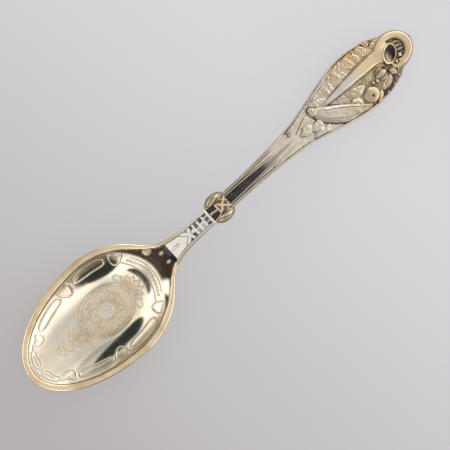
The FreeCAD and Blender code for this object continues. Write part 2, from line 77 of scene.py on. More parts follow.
# Where the neck's seam, collar, knop, stem and plate begin along the profile, and where the plate ends
SEAM_AT, COLLAR_AT, KNOP_AT, STEM_AT, PLATE_AT, END_AT = 6.0, 20.8, 21.3, 27.6, 51.2, 95.1
# Heights of the faces above the profile, and half widths of stem and plate
NECK_TOP, STEM_TOP, PLATE_TOP = 1.3, 1.5, 0.9
STEM_HALF, PLATE_HALF = 2.6, 8.35
# The plate from its foot to its widest place and on to its shoulder's end, and the oval that crowns it
PLATE_WIDEST, SHOULDER_REACH = 25.2, 15.2
CROWN_CENTRE, CROWN_LENGTH, CROWN_HALF = 37.2, 6.7, 5.3
# The matted oval in the middle of the bowl, and the radius of the polished eye in its rosette
MEDAL_CENTRE, MEDAL_HALF_LENGTH, MEDAL_HALF_WIDTH, EYE_RADIUS = 27.3, 8.2, 6.6, 2.5


# ---------------------------------------------------------------- small helpers

def clamp(value, low=0.0, high=1.0):
    return max(low, min(high, value))


def ease(low, high, value):
    """0 below low, 1 above high, and a smooth rise between them."""
    t = clamp((value - low) / (high - low))
    return t * t * (3 - 2 * t)


def mix(a, b, share):
    return a + (b - a) * share


def soft_min(a, b, width):
    """The lesser of two heights, rounded over a width where they meet."""
    h = max(width - abs(a - b), 0.0) / width
    return min(a, b) - h * h * width / 4


def soft_max(a, b, width):
    return -soft_min(-a, -b, width)


def arch(share):
    """Height of a quarter-round edge: 0 at its foot, 1 from share 1 on."""
    return math.sqrt(max(0.0, 1 - (1 - clamp(share)) ** 2))


def ridge(offset, half_width):
    """A rounded ridge across a line, 1 on the line and 0 from half_width on."""
    return 0.5 + 0.5 * math.cos(math.pi * clamp(abs(offset) / half_width))


def spine(distance):
    """x, z and angle of the side profile's middle line at a distance from the heel's inner end."""
    x, z, angle = HEEL_X, HEEL_Z, LEGS[0][1]
    for length, first, last in LEGS:
        part = clamp(distance, 0.0, length)
        a, turn = math.radians(first), math.radians(last - first) * part / length
        if abs(turn) < 1e-7:
            x, z = x + part * math.cos(a), z + part * math.sin(a)
        elif part > 0:
            x += part / turn * (math.sin(a + turn) - math.sin(a))
            z -= part / turn * (math.cos(a + turn) - math.cos(a))
        angle = math.degrees(a + turn)
        distance -= part
        if distance <= 1e-9:
            break
    return x, z, math.radians(angle)


def on_spine(distance, y, rise):
    """A point at a distance along the side profile, y to the left of it and rise above it."""
    x, z, angle = spine(distance)
    return Vector((x - rise * math.sin(angle), y, z + rise * math.cos(angle)))


def handle_rise(distance):
    """Height of the handle's face above the spine."""
    along = clamp((distance - STEM_AT) / (PLATE_AT - STEM_AT))
    return mix(STEM_TOP, PLATE_TOP, along ** 1.5)


def on_plate(p, q, rise):
    """A point over the handle's face: p along it from the plate's foot, q to the left and rise above it."""
    return on_spine(PLATE_AT + p, q, handle_rise(PLATE_AT + p) + rise)


# ---------------------------------------------------------------- materials

def colour(code):
    """Linear colour of an sRGB hex value."""
    parts = [int(code[n:n + 2], 16) / 255 for n in (1, 3, 5)]
    return tuple(c / 12.92 if c <= 0.04045 else ((c + 0.055) / 1.055) ** 2.4 for c in parts) + (1.0,)


def per_metre(size):
    """Scale of a pattern on Object coordinates, from its size in millimetres."""
    return 1000 / size


def add_node(tree, kind, values=(), **settings):
    """A node with its settings, and its inputs set to values or linked from sockets."""
    node = tree.nodes.new(kind)
    for name, value in settings.items():
        setattr(node, name, value)
    for name, value in dict(values).items():
        if isinstance(value, bpy.types.NodeSocket):
            tree.links.new(value, node.inputs[name])
        else:
            node.inputs[name].default_value = value
    return node


def struck_metal(name, worn, gold, tarnish, rough, scratch):
    """Polished or worn gilt silver. worn is its colour where the gilding is thin and gold where it is whole,
    tarnish the colour of what stays in the hollows after polishing and of painted shade and reflections,
    rough the roughness of its raised parts and scratch the depth of its scratches."""
    finish = bpy.data.materials.new(name)
    finish.use_nodes = True
    tree = finish.node_tree
    shader = tree.nodes["Principled BSDF"]
    place = add_node(tree, "ShaderNodeTexCoord").outputs["Object"]
    gilt = add_node(tree, "ShaderNodeAttribute", attribute_name="gilt").outputs["Fac"]
    # Gilding wears unevenly over patches of about 4 mm
    patches = add_node(tree, "ShaderNodeTexNoise", {
        "Vector": place, "Scale": per_metre(3.846), "Detail": 3.0})
    uneven = add_node(tree, "ShaderNodeMapRange", {
        "Value": patches.outputs["Fac"], "From Min": 0.3, "From Max": 0.7, "To Min": -0.22, "To Max": 0.22})
    share = add_node(tree, "ShaderNodeMath", {
        0: gilt, 1: uneven.outputs["Result"]}, operation="ADD", use_clamp=True)
    tint = add_node(tree, "ShaderNodeMix", {
        "Factor": share.outputs["Value"], 6: colour(worn), 7: colour(gold)}, data_type="RGBA")
    # Where the gilding is whole, an orange bloom shows in patches of about 4 mm
    bloom = add_node(tree, "ShaderNodeTexNoise", {
        "Vector": place, "Scale": per_metre(4.348), "Detail": 2.0, "Distortion": 0.6})
    orange = add_node(tree, "ShaderNodeMapRange", {
        "Value": bloom.outputs["Fac"], "From Min": 0.46, "From Max": 0.68, "To Max": 0.5})
    orange = add_node(tree, "ShaderNodeMath", {0: orange.outputs["Result"], 1: gilt}, operation="MULTIPLY")
    tint = add_node(tree, "ShaderNodeMix", {
        "Factor": orange.outputs["Value"], 6: tint.outputs[2], 7: colour("#DDAE7C")}, data_type="RGBA")
    # A thin haze of tarnish lies over patches of about 5 mm
    clouds = add_node(tree, "ShaderNodeTexNoise", {"Vector": place, "Scale": per_metre(5.263), "Detail": 2.0})
    haze = add_node(tree, "ShaderNodeMapRange", {
        "Value": clouds.outputs["Fac"], "From Min": 0.45, "From Max": 0.75, "To Max": 0.16})
    # This attribute holds the tarnish in the hollows and the painted shade and dark reflections
    tarnish_and_shade = add_node(tree, "ShaderNodeAttribute", attribute_name="tarnish_and_shade")
    cover = add_node(tree, "ShaderNodeMath", {
        0: tarnish_and_shade.outputs["Fac"], 1: haze.outputs["Result"]}, operation="ADD")
    # Tarnish breaks up over specks of about 0.4 mm
    specks = add_node(tree, "ShaderNodeTexNoise", {
        "Vector": place, "Scale": per_metre(0.4167), "Detail": 2.0})
    grain = add_node(tree, "ShaderNodeMapRange", {
        "Value": specks.outputs["Fac"], "To Min": 0.82, "To Max": 1.16})
    broken = add_node(tree, "ShaderNodeMath", {
        0: cover.outputs["Value"], 1: grain.outputs["Result"]}, operation="MULTIPLY", use_clamp=True)
    dark = add_node(tree, "ShaderNodeMix", {
        "Factor": broken.outputs["Value"], 6: tint.outputs[2], 7: colour(tarnish)}, data_type="RGBA")
    tree.links.new(dark.outputs[2], shader.inputs["Base Color"])
    shader.inputs["Metallic"].default_value = 1.0
    matte = add_node(tree, "ShaderNodeAttribute", attribute_name="matte")
    rougher = add_node(tree, "ShaderNodeMath", {
        0: broken.outputs["Value"], 1: 0.28, 2: rough}, operation="MULTIPLY_ADD")
    blur = add_node(tree, "ShaderNodeMath", {
        0: matte.outputs["Fac"], 1: 0.34, 2: rougher.outputs["Value"]}, operation="MULTIPLY_ADD")
    tree.links.new(blur.outputs["Value"], shader.inputs["Roughness"])
    # Fine scratches of use, drawn 0.15 mm wide and 1.4 mm long so that they show
    along = add_node(tree, "ShaderNodeMapping", {
        "Vector": place, "Scale": (per_metre(1.4286), per_metre(0.15385), per_metre(0.3333))})
    lines = add_node(tree, "ShaderNodeTexNoise", {
        "Vector": along.outputs["Vector"], "Scale": 1.0, "Detail": 2.0})
    # The matted ground is stippled with punch marks 0.36 mm apart
    punch = add_node(tree, "ShaderNodeTexVoronoi", {"Vector": place, "Scale": per_metre(0.35714)})
    marks = add_node(tree, "ShaderNodeMath", {
        0: punch.outputs["Distance"], 1: matte.outputs["Fac"]}, operation="MULTIPLY")
    height = add_node(tree, "ShaderNodeMath", {
        0: lines.outputs["Fac"], 1: scratch, 2: marks.outputs["Value"]}, operation="MULTIPLY_ADD")
    bump = add_node(tree, "ShaderNodeBump", {
        "Height": height.outputs["Value"], "Distance": 0.00012, "Strength": 0.6})
    tree.links.new(bump.outputs["Normal"], shader.inputs["Normal"])
    return finish


# Gilt silver, pressed and polished: pale champagne, mirror-like, gold on the lip, with very little tarnish
# Its dark colour also paints the dark reflections in the heel and on the wall, and shade beside raised lines
bowl_gilt = struck_metal("polished_gilt_silver", "#E6E0D3", "#F2DFBA", "#42362A", 0.09, 0.03)
# Gilt silver, struck in relief and worn: satin, grey-white below and gold above, slate grey in the recesses
# Its slate grey also paints the shade on the relief's slopes, sides, hollows and edges
relief_gilt = struck_metal("worn_gilt_silver", "#D6CFC3", "#E2CDA6", "#3E3A42", 0.22, 0.10)
# Sterling silver, struck and polished: white, with dark oxide left in the cuts
# Its oxide colour also paints the heel's dark reflection on the neck and shade on its right edge
neck_silver = struck_metal("polished_silver", "#F2F0E9", "#EAD8AE", "#26221F", 0.15, 0.05)


# ---------------------------------------------------------------- making pieces

def start_mesh():
    """An empty mesh whose vertices carry tarnish and painted shade, and how matt and how gilt the surface is.
    """
    bm = bmesh.new()
    for name in ("tarnish_and_shade", "matte", "gilt"):
        bm.verts.layers.float.new(name)
    return bm


def sheet(bm, columns, rows, place):
    """A grid whose vertices go to place(u, v) -> (point, tarnish and painted shade, matte), with u and v from
    -1 to 1.
    """
    tarnish_and_shade, matte = bm.verts.layers.float["tarnish_and_shade"], bm.verts.layers.float["matte"]
    made = bmesh.ops.create_grid(bm, x_segments=columns, y_segments=rows, size=1.0)
    for vert in made["verts"]:
        point, deep, dull = place(vert.co.x, vert.co.y)
        vert.co = point
        vert[tarnish_and_shade], vert[matte] = deep, dull
    return made["verts"]


def fill_open(bm, made):
    """Closes the open ends or the back of the vertices that were just made."""
    own = {v for v in made if v.is_valid}
    edges = [e for e in bm.edges if e.is_boundary and e.verts[0] in own and e.verts[1] in own]
    bmesh.ops.holes_fill(bm, edges=edges, sides=0)


def close_up(bm):
    """Joins meeting edges and fills what is still open."""
    bmesh.ops.remove_doubles(bm, verts=bm.verts, dist=0.0005)
    fill_open(bm, bm.verts)


def finish_piece(name, bm, finish, gilding, nodes=()):
    """Turns the mesh into a piece of the spoon in the frame, in metres. gilding(x, y) is 0 to 1."""
    gilt = bm.verts.layers.float["gilt"]
    for vert in bm.verts:
        vert[gilt] = gilding(vert.co.x, vert.co.y)
    bmesh.ops.translate(bm, vec=(TIP_X, 0, 0), verts=bm.verts)
    bmesh.ops.scale(bm, vec=(0.001, 0.001, 0.001), verts=bm.verts)
    bmesh.ops.recalc_face_normals(bm, faces=bm.faces)
    mesh = bpy.data.meshes.new(name)
    bm.to_mesh(mesh)
    bm.free()
    mesh.shade_smooth()
    mesh.set_sharp_from_angle(angle=math.radians(60))
    piece = bpy.data.objects.new(name, mesh)
    bpy.context.scene.collection.objects.link(piece)
    mesh.materials.append(finish)
    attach(piece, "root")
    if nodes:
        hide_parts(*nodes)


def cord(bm, points, radius, closed=False, sides=8, flat=1.0, deep=0.0):
    """A raised round line along points, each with its own upward direction; flat squeezes its height,
    and deep is how dark the tarnish and painted shade lie along its foot."""
    count = len(points)
    steps = count if closed else count - 1

    def place(u, v):
        n = (v + 1) / 2 * steps
        first = int(n + 1e-6) % count if closed else min(int(n + 1e-6), count - 1)
        point, up = points[first]
        before = points[(first - 1) % count if closed else max(first - 1, 0)][0]
        after = points[(first + 1) % count if closed else min(first + 1, count - 1)][0]
        ahead = (after - before).normalized()
        side = ahead.cross(up).normalized()
        share = 1.0 if closed else arch(min(first, count - 1 - first) / 2 + 0.02)
        angle = math.pi * u
        r = radius * share
        foot = deep * ease(0.75, 0.1, math.sin(angle))
        return point + side * (r * math.cos(angle)) + up * (r * flat * math.sin(angle)), foot, 0.0

    made = sheet(bm, sides, steps, place)
    bmesh.ops.remove_doubles(bm, verts=made, dist=radius * 0.01)
    if not closed:
        fill_open(bm, made)


def curve_point(points, t, closed=True):
    """A point of the smooth line through points, with t from 0 to 1 along it."""
    count = len(points)
    last = count if closed else count - 1
    n = min(int(t * last), last - 1)
    t = t * last - n
    weights = (-t ** 3 + 2 * t * t - t, 3 * t ** 3 - 5 * t * t + 2,
               -3 * t ** 3 + 4 * t * t + t, t ** 3 - t * t)
    total = [0.0, 0.0]
    for k, weight in zip((-1, 0, 1, 2), weights):
        p, q = points[(n + k) % count] if closed else points[max(0, min(count - 1, n + k))]
        total[0] += p * weight / 2
        total[1] += q * weight / 2
    return total


def smooth_line(points, steps=8, closed=False):
    """Points of the smooth line through a few, steps to each run."""
    runs = len(points) * steps if closed else (len(points) - 1) * steps
    return [curve_point(points, n / runs, closed) for n in range(runs if closed else runs + 1)]


# ---------------------------------------------------------------- bowl: surfaces

def oval_depth(x, y):
    """How far a point lies inside the bowl's oval outline."""
    reach = TIP_REACH if x < TIP_REACH else HEEL_REACH
    a, b = (x - TIP_REACH) / reach, y / BOWL_HALF
    g = math.hypot(a, b)
    if g < 1e-4:
        return BOWL_HALF
    return (1 - g) * g / math.hypot(a / reach, b / BOWL_HALF)


# Where the bowl begins to turn up into the heel, where the neck's fishtail starts in it, and where that bends
HEEL_FROM, FLARE_START, FLARE_BEND = 38.0, 42.0, 48.3


def flare_half(x):
    """Half width of the neck's fishtail: slender along the neck, and widening straight into the bowl."""
    if x < FLARE_BEND:
        return 5.10 + 0.8 * (FLARE_BEND - max(x, FLARE_START + 1.5))
    return 2.55 + 1.55 * math.exp(-(x - FLARE_BEND - 1.6) / 3.2)


def edge_depth(x, y):
    """How far a point lies inside the outline of bowl and heel."""
    if x < FLARE_START - 2:
        return oval_depth(x, y)
    lean = (flare_half(x + 0.01) - flare_half(x - 0.01)) / 0.02
    flare = min((flare_half(x) - abs(y)) / math.hypot(1, lean), x - FLARE_START)
    return soft_max(oval_depth(x, y), flare, 1.0)


def bar_line(rise):
    """Height over x of a line that follows the spine at a rise, as a function of x."""
    points = [on_spine(n * 0.05, 0, rise) for n in range(600)]

    def at(x):
        low, high = 0, len(points) - 1
        while high - low > 1:
            middle = (low + high) // 2
            low, high = (middle, high) if points[middle].x <= x else (low, middle)
        a, b = points[low], points[high]
        return mix(a.z, b.z, (x - a.x) / (b.x - a.x))
    return at


heel_top = bar_line(NECK_TOP)
SEAM_POINT = on_spine(SEAM_AT, 0, 0)
RAMP_RADIUS, RAMP_ANGLE = 9.0, math.radians(46)
RAMP_X, RAMP_Z = SEAM_POINT.x + 0.8, SEAM_POINT.z + NECK_TOP + 0.25 - RAMP_RADIUS
RAMP_FOOT = RAMP_X - RAMP_RADIUS * math.sin(RAMP_ANGLE)


def lip_line(x):
    """Height of the crest of the rim, and of the heel's edges beyond it."""
    flat = RIM_HEIGHT + (x - TIP_REACH) * TILT + LIP_HALF
    return flat if x < HEEL_X - 0.1 else heel_top(x)


def lip_width(x):
    """Width of the rolled lip, which narrows along the heel."""
    return mix(LIP_WIDTH, HEEL_LIP_WIDTH, ease(HEEL_FROM, 48.5, x))


def dish(x, y, inset, depth):
    """Height of a dish whose rim lies inset from the bowl's outline."""
    reach = (TIP_REACH if x < TIP_REACH else HEEL_REACH) - inset
    a, b = (x - TIP_REACH) / reach, y / (BOWL_HALF - inset)
    return RIM_HEIGHT + (x - TIP_REACH) * TILT - depth * (1 - a * a - b * b)


def ramp(x, y):
    """Height of the hollow that climbs from the bowl to the neck: a curve, then an arc over the shoulder."""
    if x < RAMP_FOOT:
        t = RAMP_FOOT - x
        middle = RAMP_Z + RAMP_RADIUS * math.cos(RAMP_ANGLE) - 0.85 * t + 0.12 * t * t
    else:
        middle = RAMP_Z + math.sqrt(max(0.0, RAMP_RADIUS ** 2 - (x - RAMP_X) ** 2))
    return middle + y * y / 24


def hollow(x, y):
    """Height of the bowl's inside and of the heel's ramp, without the lip."""
    inside = dish(x, y, INNER_INSET, BOWL_DEPTH)
    if x > HEEL_FROM:
        inside = soft_min(inside, ramp(x, y), 0.6)
        inside = soft_min(inside, lip_line(x) - 0.22, 0.15)
    return inside


def bowl_top(x, y):
    """Height of the bowl's upper side."""
    depth, width = max(edge_depth(x, y), 0.0), lip_width(x)
    share = clamp(depth / width)
    bead = lip_line(x) - LIP_HALF + LIP_HALF * math.sqrt(max(0.0, 1 - (2 * share - 1) ** 2))
    if depth < width - 0.15:
        return bead
    return mix(bead, hollow(x, y), ease(width - 0.15, width + 0.12, depth))


def bowl_under(x, y):
    """Height of the bowl's underside, which thickens towards the neck."""
    depth, heel = max(edge_depth(x, y), 0.0), ease(42.5, 48.0, x)
    thick = 2 * LIP_HALF + 1.25 * heel
    low = soft_min(dish(x, y, OUTER_INSET, BOWL_DEPTH + BOWL_WALL), lip_line(x) - thick, 0.5)
    edge = lip_line(x) - LIP_HALF
    return max(0.0, mix(edge, low, arch(depth / mix(LIP_HALF, 1.1, heel))))


# ---------------------------------------------------------------- bowl: the pressing

BOWL_CENTRE, BOWL_END, BOWL_CELLS = 27.0, SEAM_POINT.x + 0.5, 220
# Painted highlights on the heel: a gold spot on the left and a pale one on the right, where its painted dark
# is left off
HEEL_GLINT_LEFT, HEEL_GLINT_RIGHT = (46.4, 4.6), (44.2, -6.6)


def outline_radius():
    """Distance from the bowl's centre to its outline, as a function of the angle."""
    count = 1440
    table = []
    for n in range(count + 1):
        angle = math.pi * n / count
        low, high = 5.0, 30.0
        for _ in range(30):
            r = (low + high) / 2
            x, y = BOWL_CENTRE + r * math.cos(angle), r * math.sin(angle)
            low, high = (r, high) if x < BOWL_END and edge_depth(x, y) > 0 else (low, r)
        table.append(low)

    def at(angle):
        n = min(abs(angle) / math.pi * count, count - 1e-6)
        return mix(table[int(n)], table[int(n) + 1], n - int(n))
    return at


def round_out(a, b):
    """Radius and angle in a circle of a point of a square, with rings kept as rings."""
    if a == 0 and b == 0:
        return 0.0, 0.0
    if abs(a) >= abs(b):
        r, t = a, math.pi / 4 * (b / a)
    else:
        r, t = b, math.pi / 2 - math.pi / 4 * (a / b)
    return abs(r), math.atan2(r * math.sin(t), r * math.cos(t))


def medal_half(x):
    """Half width of the matted oval in the middle of the bowl."""
    along = (x - MEDAL_CENTRE) / MEDAL_HALF_LENGTH
    return MEDAL_HALF_WIDTH * math.sqrt(max(0.0, 1 - along * along))


def bowl_gilding(x, y):
    """The lip keeps its gold, and the heel's edges too; the floor is paler, warmer where it is matted."""
    lip = ease(lip_width(x) + 0.25, lip_width(x) - 0.1, edge_depth(x, y))
    # Painted highlight: the gold spot on the heel's left
    painted_glint = 0.9 * ease(2.0, 1.0, math.hypot(x - HEEL_GLINT_LEFT[0], y - HEEL_GLINT_LEFT[1]))
    eye = ease(EYE_RADIUS, EYE_RADIUS - 0.3, math.hypot(x - MEDAL_CENTRE, y))
    floor = 0.5 if medal_half(x) > abs(y) else 0.3
    return max(lip, painted_glint, mix(floor, 0.0, eye))


def heel_painted_reflection(x, y):
    """Brown painted in the heel's trough as a dark reflection; painted highlights are left on its sides and
    on two spots before the neck.
    """
    left = ease(1.6, 0.5, math.hypot(x - HEEL_GLINT_LEFT[0], y - HEEL_GLINT_LEFT[1]))
    right = ease(2.6, 1.2, math.hypot(x - HEEL_GLINT_RIGHT[0], 0.8 * (y - HEEL_GLINT_RIGHT[1])))
    spots = ease(0.7, 0.1, math.hypot(0.7 * (x - 48.9), abs(y) - 1.5))
    return ease(44.0, 45.4, x + 0.05 * y * y) * (1 - max(left, right)) * (1 - 0.8 * spots)


def wall_darkening(x, y, within):
    """A thin darkening on the wall all round close to the lip, within being how far inside the lip, and
    painted dark reflections on the left towards the heel, and on the right in one patch towards the heel and
    one towards the tip."""
    if y > 0:
        patch = 0.34 * ease(28.0, 35.0, x) * ease(3.2, 1.4, within)
    else:
        patch = max(0.45 * ease(24.0, 30.0, x) * ease(43.0, HEEL_FROM, x) * ease(1.8, 0.5, within),
                    0.5 * ease(10.0, 14.0, x) * ease(25.0, 22.0, x) * ridge(within - 1.7, 0.9))
    return max(patch, 0.25 * ease(0.7, 0.2, within))


def matting(x, y):
    """1 on the matted oval, 0 outside it and in the rosette's polished eye."""
    if abs(x - MEDAL_CENTRE) >= MEDAL_HALF_LENGTH:
        return 0.0
    from_eye = math.hypot(x - MEDAL_CENTRE, y) - EYE_RADIUS
    return ease(-0.1, 0.3, medal_half(x) - abs(y)) * ease(-0.1, 0.2, from_eye)


def bowl_pressing():
    """The bowl's two sides, which meet along the middle of the lip and run to a thin end inside the neck."""
    radius = outline_radius()

    def plan(u, v):
        share, angle = round_out(u, v)
        share = 0.55 * share + 0.45 * math.sin(share * math.pi / 2)
        r = radius(angle) * share
        return BOWL_CENTRE + r * math.cos(angle), r * math.sin(angle)

    def height(u, v, x, side, thinning):
        if max(abs(u), abs(v)) > 1 - 1e-6:
            return lip_line(x) - LIP_HALF
        return side + thinning * ease(SEAM_POINT.x - 0.3, BOWL_END, x)

    def upper(u, v):
        x, y = plan(u, v)
        width = lip_width(x)
        within = edge_depth(x, y) - width
        groove = 0.8 * ridge(within, 0.24) + 0.25 * ridge(within + 0.58 * width, 0.12)
        # The painted dark reflections of the heel and the wall, kept off the lip
        tarnish = max(heel_painted_reflection(x, y), wall_darkening(x, y, within)) * ease(-0.1, 0.25, within)
        matt = matting(x, y)
        z = height(u, v, x, bowl_top(x, y), -1.1)
        return Vector((x, y, z)), max(groove, tarnish, 0.06 * matt), 0.8 * matt

    def lower(u, v):
        x, y = plan(u, v)
        return Vector((x, y, height(u, v, x, bowl_under(x, y), 0.9))), 0.0, 0.0

    bm = start_mesh()
    for side in (upper, lower):
        sheet(bm, BOWL_CELLS, BOWL_CELLS, side)
    close_up(bm)
    finish_piece("bowl_pressing", bm, bowl_gilt, bowl_gilding, ["bowl"])


# ---------------------------------------------------------------- bowl: struck ornament

def bowl_point(x, y):
    """A point on the bowl's inside with its upward direction."""
    e = 0.05
    slope_x = (hollow(x + e, y) - hollow(x - e, y)) / (2 * e)
    slope_y = (hollow(x, y + e) - hollow(x, y - e)) / (2 * e)
    return Vector((x, y, hollow(x, y))), Vector((-slope_x, -slope_y, 1)).normalized()


def on_wall(turn, inset, side):
    """A place on the bowl's wall: turn in degrees round from the tip, inset from the outline."""
    a = math.radians(turn)
    reach = (TIP_REACH if turn < 90 else HEEL_REACH) - inset
    return TIP_REACH - reach * math.cos(a), side * (BOWL_HALF - inset) * math.sin(a)


def bowl_line(bm, plan, radius, closed=False, deep=0.75, shadow=1.7):
    """A raised line on the bowl's inside through places (x, y). Its foot is dark with tarnish and painted
    shade, and a flat dark band on the ground beside it, as far out as shadow times its radius, is its painted
    shadow."""
    places = [bowl_point(x, y) for x, y in plan]
    cord(bm, places, radius, closed, 8, 1.0, deep)
    if shadow:
        cord(bm, places, shadow * radius, closed, 8, 0.12, 1.0)


def oval(x, y, half_length, half_width, count):
    """Places round an oval about (x, y)."""
    turns = [2 * math.pi * n / count for n in range(count)]
    return [(x + half_length * math.cos(a), y + half_width * math.sin(a)) for a in turns]


def mirrored(places, side):
    """The same places on the left, with side 1, or on the right, with side -1."""
    return [(x, side * y) for x, y in places]


def wall_panel(side, turn, half_turn, inset, half_inset, count):
    """Places of a long panel's outline on the wall, with rounded ends."""
    places = []
    for across, inward in oval(0.0, 0.0, 1.0, 1.0, count):
        across = math.copysign(abs(across) ** 0.5, across)
        inward = math.copysign(abs(inward) ** 0.8, inward)
        places.append(on_wall(turn + half_turn * across, inset + half_inset * inward, side))
    return places


def half_moon(side, turn, half_turn, inset, depth):
    """Places of a half disc's outline on the wall, with its flat side outwards and pointed corners."""
    places, count, round_part = [], 44, 0.6
    for n in range(count):
        share = n / count
        if share < round_part:
            a = math.pi * share / round_part
            across, inward = math.cos(a), math.sin(a)
        else:
            across = mix(-1.0, 1.0, (share - round_part) / (1 - round_part))
            inward = -0.28 * across * across
        places.append(on_wall(turn + half_turn * across, inset + depth * inward, side))
    return places


def petal_line(foot, turn, length, width, bow=0.0, count=26):
    """Places of a pointed petal's outline, from its foot (x, y), turned from the bowl's axis and bowed."""
    c, s = math.cos(math.radians(turn)), math.sin(math.radians(turn))
    places = []
    for n in range(count):
        t = 2 * n / count
        side, t = (1, t) if t < 1 else (-1, 2 - t)
        across = side * width / 2 * math.sin(math.pi * t ** 0.85) + bow * 4 * t * (1 - t)
        places.append((foot[0] + c * length * t - s * across, foot[1] + s * length * t + c * across))
    return places


# Long panels round the wall: turn, half turn, inset, half inset and points; and the half moons between them:
# turn, half turn, inset and depth
PANELS = ((57.0, 13.5, 4.0, 1.0, 90), (101.0, 17.0, 3.8, 1.15, 100))
HALF_MOONS = ((76.8, 4.4, 3.1, 2.6), (33.5, 6.8, 3.5, 2.4), (130.5, 6.6, 3.1, 2.6))
# Sprig at the tip, left half: a curled leaf, its midrib, and berries (x, y, radius)
SPRIG_LEAF = ((4.3, 0.5), (5.2, 1.9), (5.5, 3.6), (6.3, 4.7), (5.0, 5.1), (4.1, 3.9), (3.3, 2.2), (3.4, 0.9))
SPRIG_RIB = ((3.9, 0.9), (4.4, 2.4), (4.9, 4.2))
SPRIG_BERRIES = ((6.6, 5.9, 0.42), (7.9, 6.6, 0.34), (2.75, 0.55, 0.24))
# Ribbon across the heel: its two edges (x, half length), the line of its beads, and how much it arches
RIBBON_EDGES, BEAD_X, RIBBON_ARCH = ((44.0, 6.4), (41.7, 7.3)), 42.85, 0.055


def bowl_border():
    """The moulded panels round the wall, the sprig at the tip and the beaded ribbon at the heel."""
    bm = start_mesh()
    for side in (1, -1):
        for panel in PANELS:
            bowl_line(bm, wall_panel(side, *panel), 0.23, True)
        for moon in HALF_MOONS:
            bowl_line(bm, half_moon(side, *moon), 0.22, True)
        bowl_line(bm, mirrored(smooth_line(SPRIG_LEAF, 6, True), side), 0.20, True)
        bowl_line(bm, mirrored(smooth_line(SPRIG_RIB, 6), side), 0.15)
        for x, y, size in SPRIG_BERRIES:
            bowl_line(bm, oval(x, side * y, size, size, 16), 0.16, True)
    for x, half_length in RIBBON_EDGES:
        across = [half_length * (n / 30 - 1) for n in range(61)]
        bowl_line(bm, [(x - RIBBON_ARCH * y * y, y) for y in across], 0.18)
    for n in range(-7, 8):
        y = 0.88 * n
        bowl_line(bm, oval(BEAD_X - RIBBON_ARCH * y * y, y, 0.30, 0.30, 12), 0.16, True)
    finish_piece("bowl_border_ornament", bm, bowl_gilt, lambda x, y: 0.35)


# Rings of petals, the flower in the eye first: count, turn of the first, foot's distance, length, width, line
PETAL_RINGS = (
    (6, 0.0, 0.25, 1.5, 0.8, 0.09), (12, 0.0, EYE_RADIUS + 0.2, 2.6, 1.5, 0.12),
    (12, 15.0, EYE_RADIUS + 1.2, 1.9, 1.0, 0.12),
)
# The palmette's foot and its left curl, where the stem of leaves starts, and how its leaves turn from it
PALMETTE_X, PALMETTE_CURL = 35.9, ((35.0, 2.2), (36.2, 3.9), (35.4, 5.6), (34.2, 5.1), (34.8, 4.3))
SPRAY_FROM, LEAF_TURN = 9.6, 50


def bowl_medallion():
    """A rosette struck in a matted oval, under a palmette and over a stem of paired leaves."""
    bm = start_mesh()
    for inset, radius in ((0.0, 0.20), (0.8, 0.12)):
        edge = oval(MEDAL_CENTRE, 0.0, MEDAL_HALF_LENGTH - inset, MEDAL_HALF_WIDTH - inset, 120)
        bowl_line(bm, edge, radius, True)
    for count, start, foot, length, width, line in PETAL_RINGS:
        for n in range(count):
            turn = start + 360 * n / count
            a = math.radians(turn)
            place = (MEDAL_CENTRE + foot * math.cos(a), foot * math.sin(a))
            bowl_line(bm, petal_line(place, turn, length, width, 0.0, 20), line, True, deep=1.0, shadow=0.0)
    bowl_line(bm, oval(MEDAL_CENTRE, 0.0, EYE_RADIUS, EYE_RADIUS, 48), 0.17, True)
    # Palmette towards the heel
    for n in range(-3, 4):
        bowl_line(bm, petal_line((PALMETTE_X, 0.45 * n), 26 * n, 3.9 - 0.35 * abs(n), 1.35), 0.14, True)
    for side in (1, -1):
        bowl_line(bm, smooth_line(mirrored(PALMETTE_CURL, side), 6), 0.14)
    # Stem with paired leaves towards the tip, each with a midrib
    bowl_line(bm, [(SPRAY_FROM + 0.25 * n, 0.0) for n in range(39)], 0.14)
    for n in range(5):
        x, length = SPRAY_FROM + 0.6 + 1.9 * n, 2.2 + 0.5 * n
        for side in (1, -1):
            leaf = petal_line((x, 0.1 * side), LEAF_TURN * side, length, 1.35, -0.25 * side)
            bowl_line(bm, leaf, 0.13, True)
            ahead, out = math.cos(math.radians(LEAF_TURN)), side * math.sin(math.radians(LEAF_TURN))
            bowl_line(bm, [(x + length * k / 10 * ahead, length * k / 10 * out) for k in range(9)], 0.09)
    finish_piece("bowl_medallion_ornament", bm, bowl_gilt, lambda x, y: 0.55)


# ---------------------------------------------------------------- bars: neck and handle

def bar(bm, columns, under, rows, start, end, half_width, top, bottom, spread=None, shade=None):
    """A closed bar along the spine. columns run over its face and under of them round its back.
    half_width(d), top(d, q) and bottom(d, q) give its section, spread(share) places its rows and
    shade(d, q) darkens its face."""
    share_top = columns / (columns + under)

    def place(u, v):
        share = (v + 1) / 2
        d = mix(start, end, spread(share) if spread else share)
        half = half_width(d)
        if abs(u) <= share_top + 1e-9:
            q = half * (u / share_top)
            q = mix(q, half * math.sin(math.pi / 2 * u / share_top), 0.3)
            rise = top(d, q)
        else:
            w = (abs(u) - share_top) / (1 - share_top)
            q = math.copysign(half * math.cos(math.pi / 2 * w), u)
            rise = bottom(d, q)
        deep = shade(d, q) if shade and abs(u) <= share_top else 0.0
        return on_spine(d, q, rise), deep, 0.0

    sheet(bm, columns + under, rows, place)
    close_up(bm)


def rounded(half, q, radius, face, edge):
    """Rise of a face that rounds down to the bar's edge."""
    return mix(edge, face, arch((half - abs(q)) / radius))


def neck_half(d):
    """Half width of the neck at a distance along the spine."""
    return flare_half(on_spine(d, 0, NECK_TOP).x)


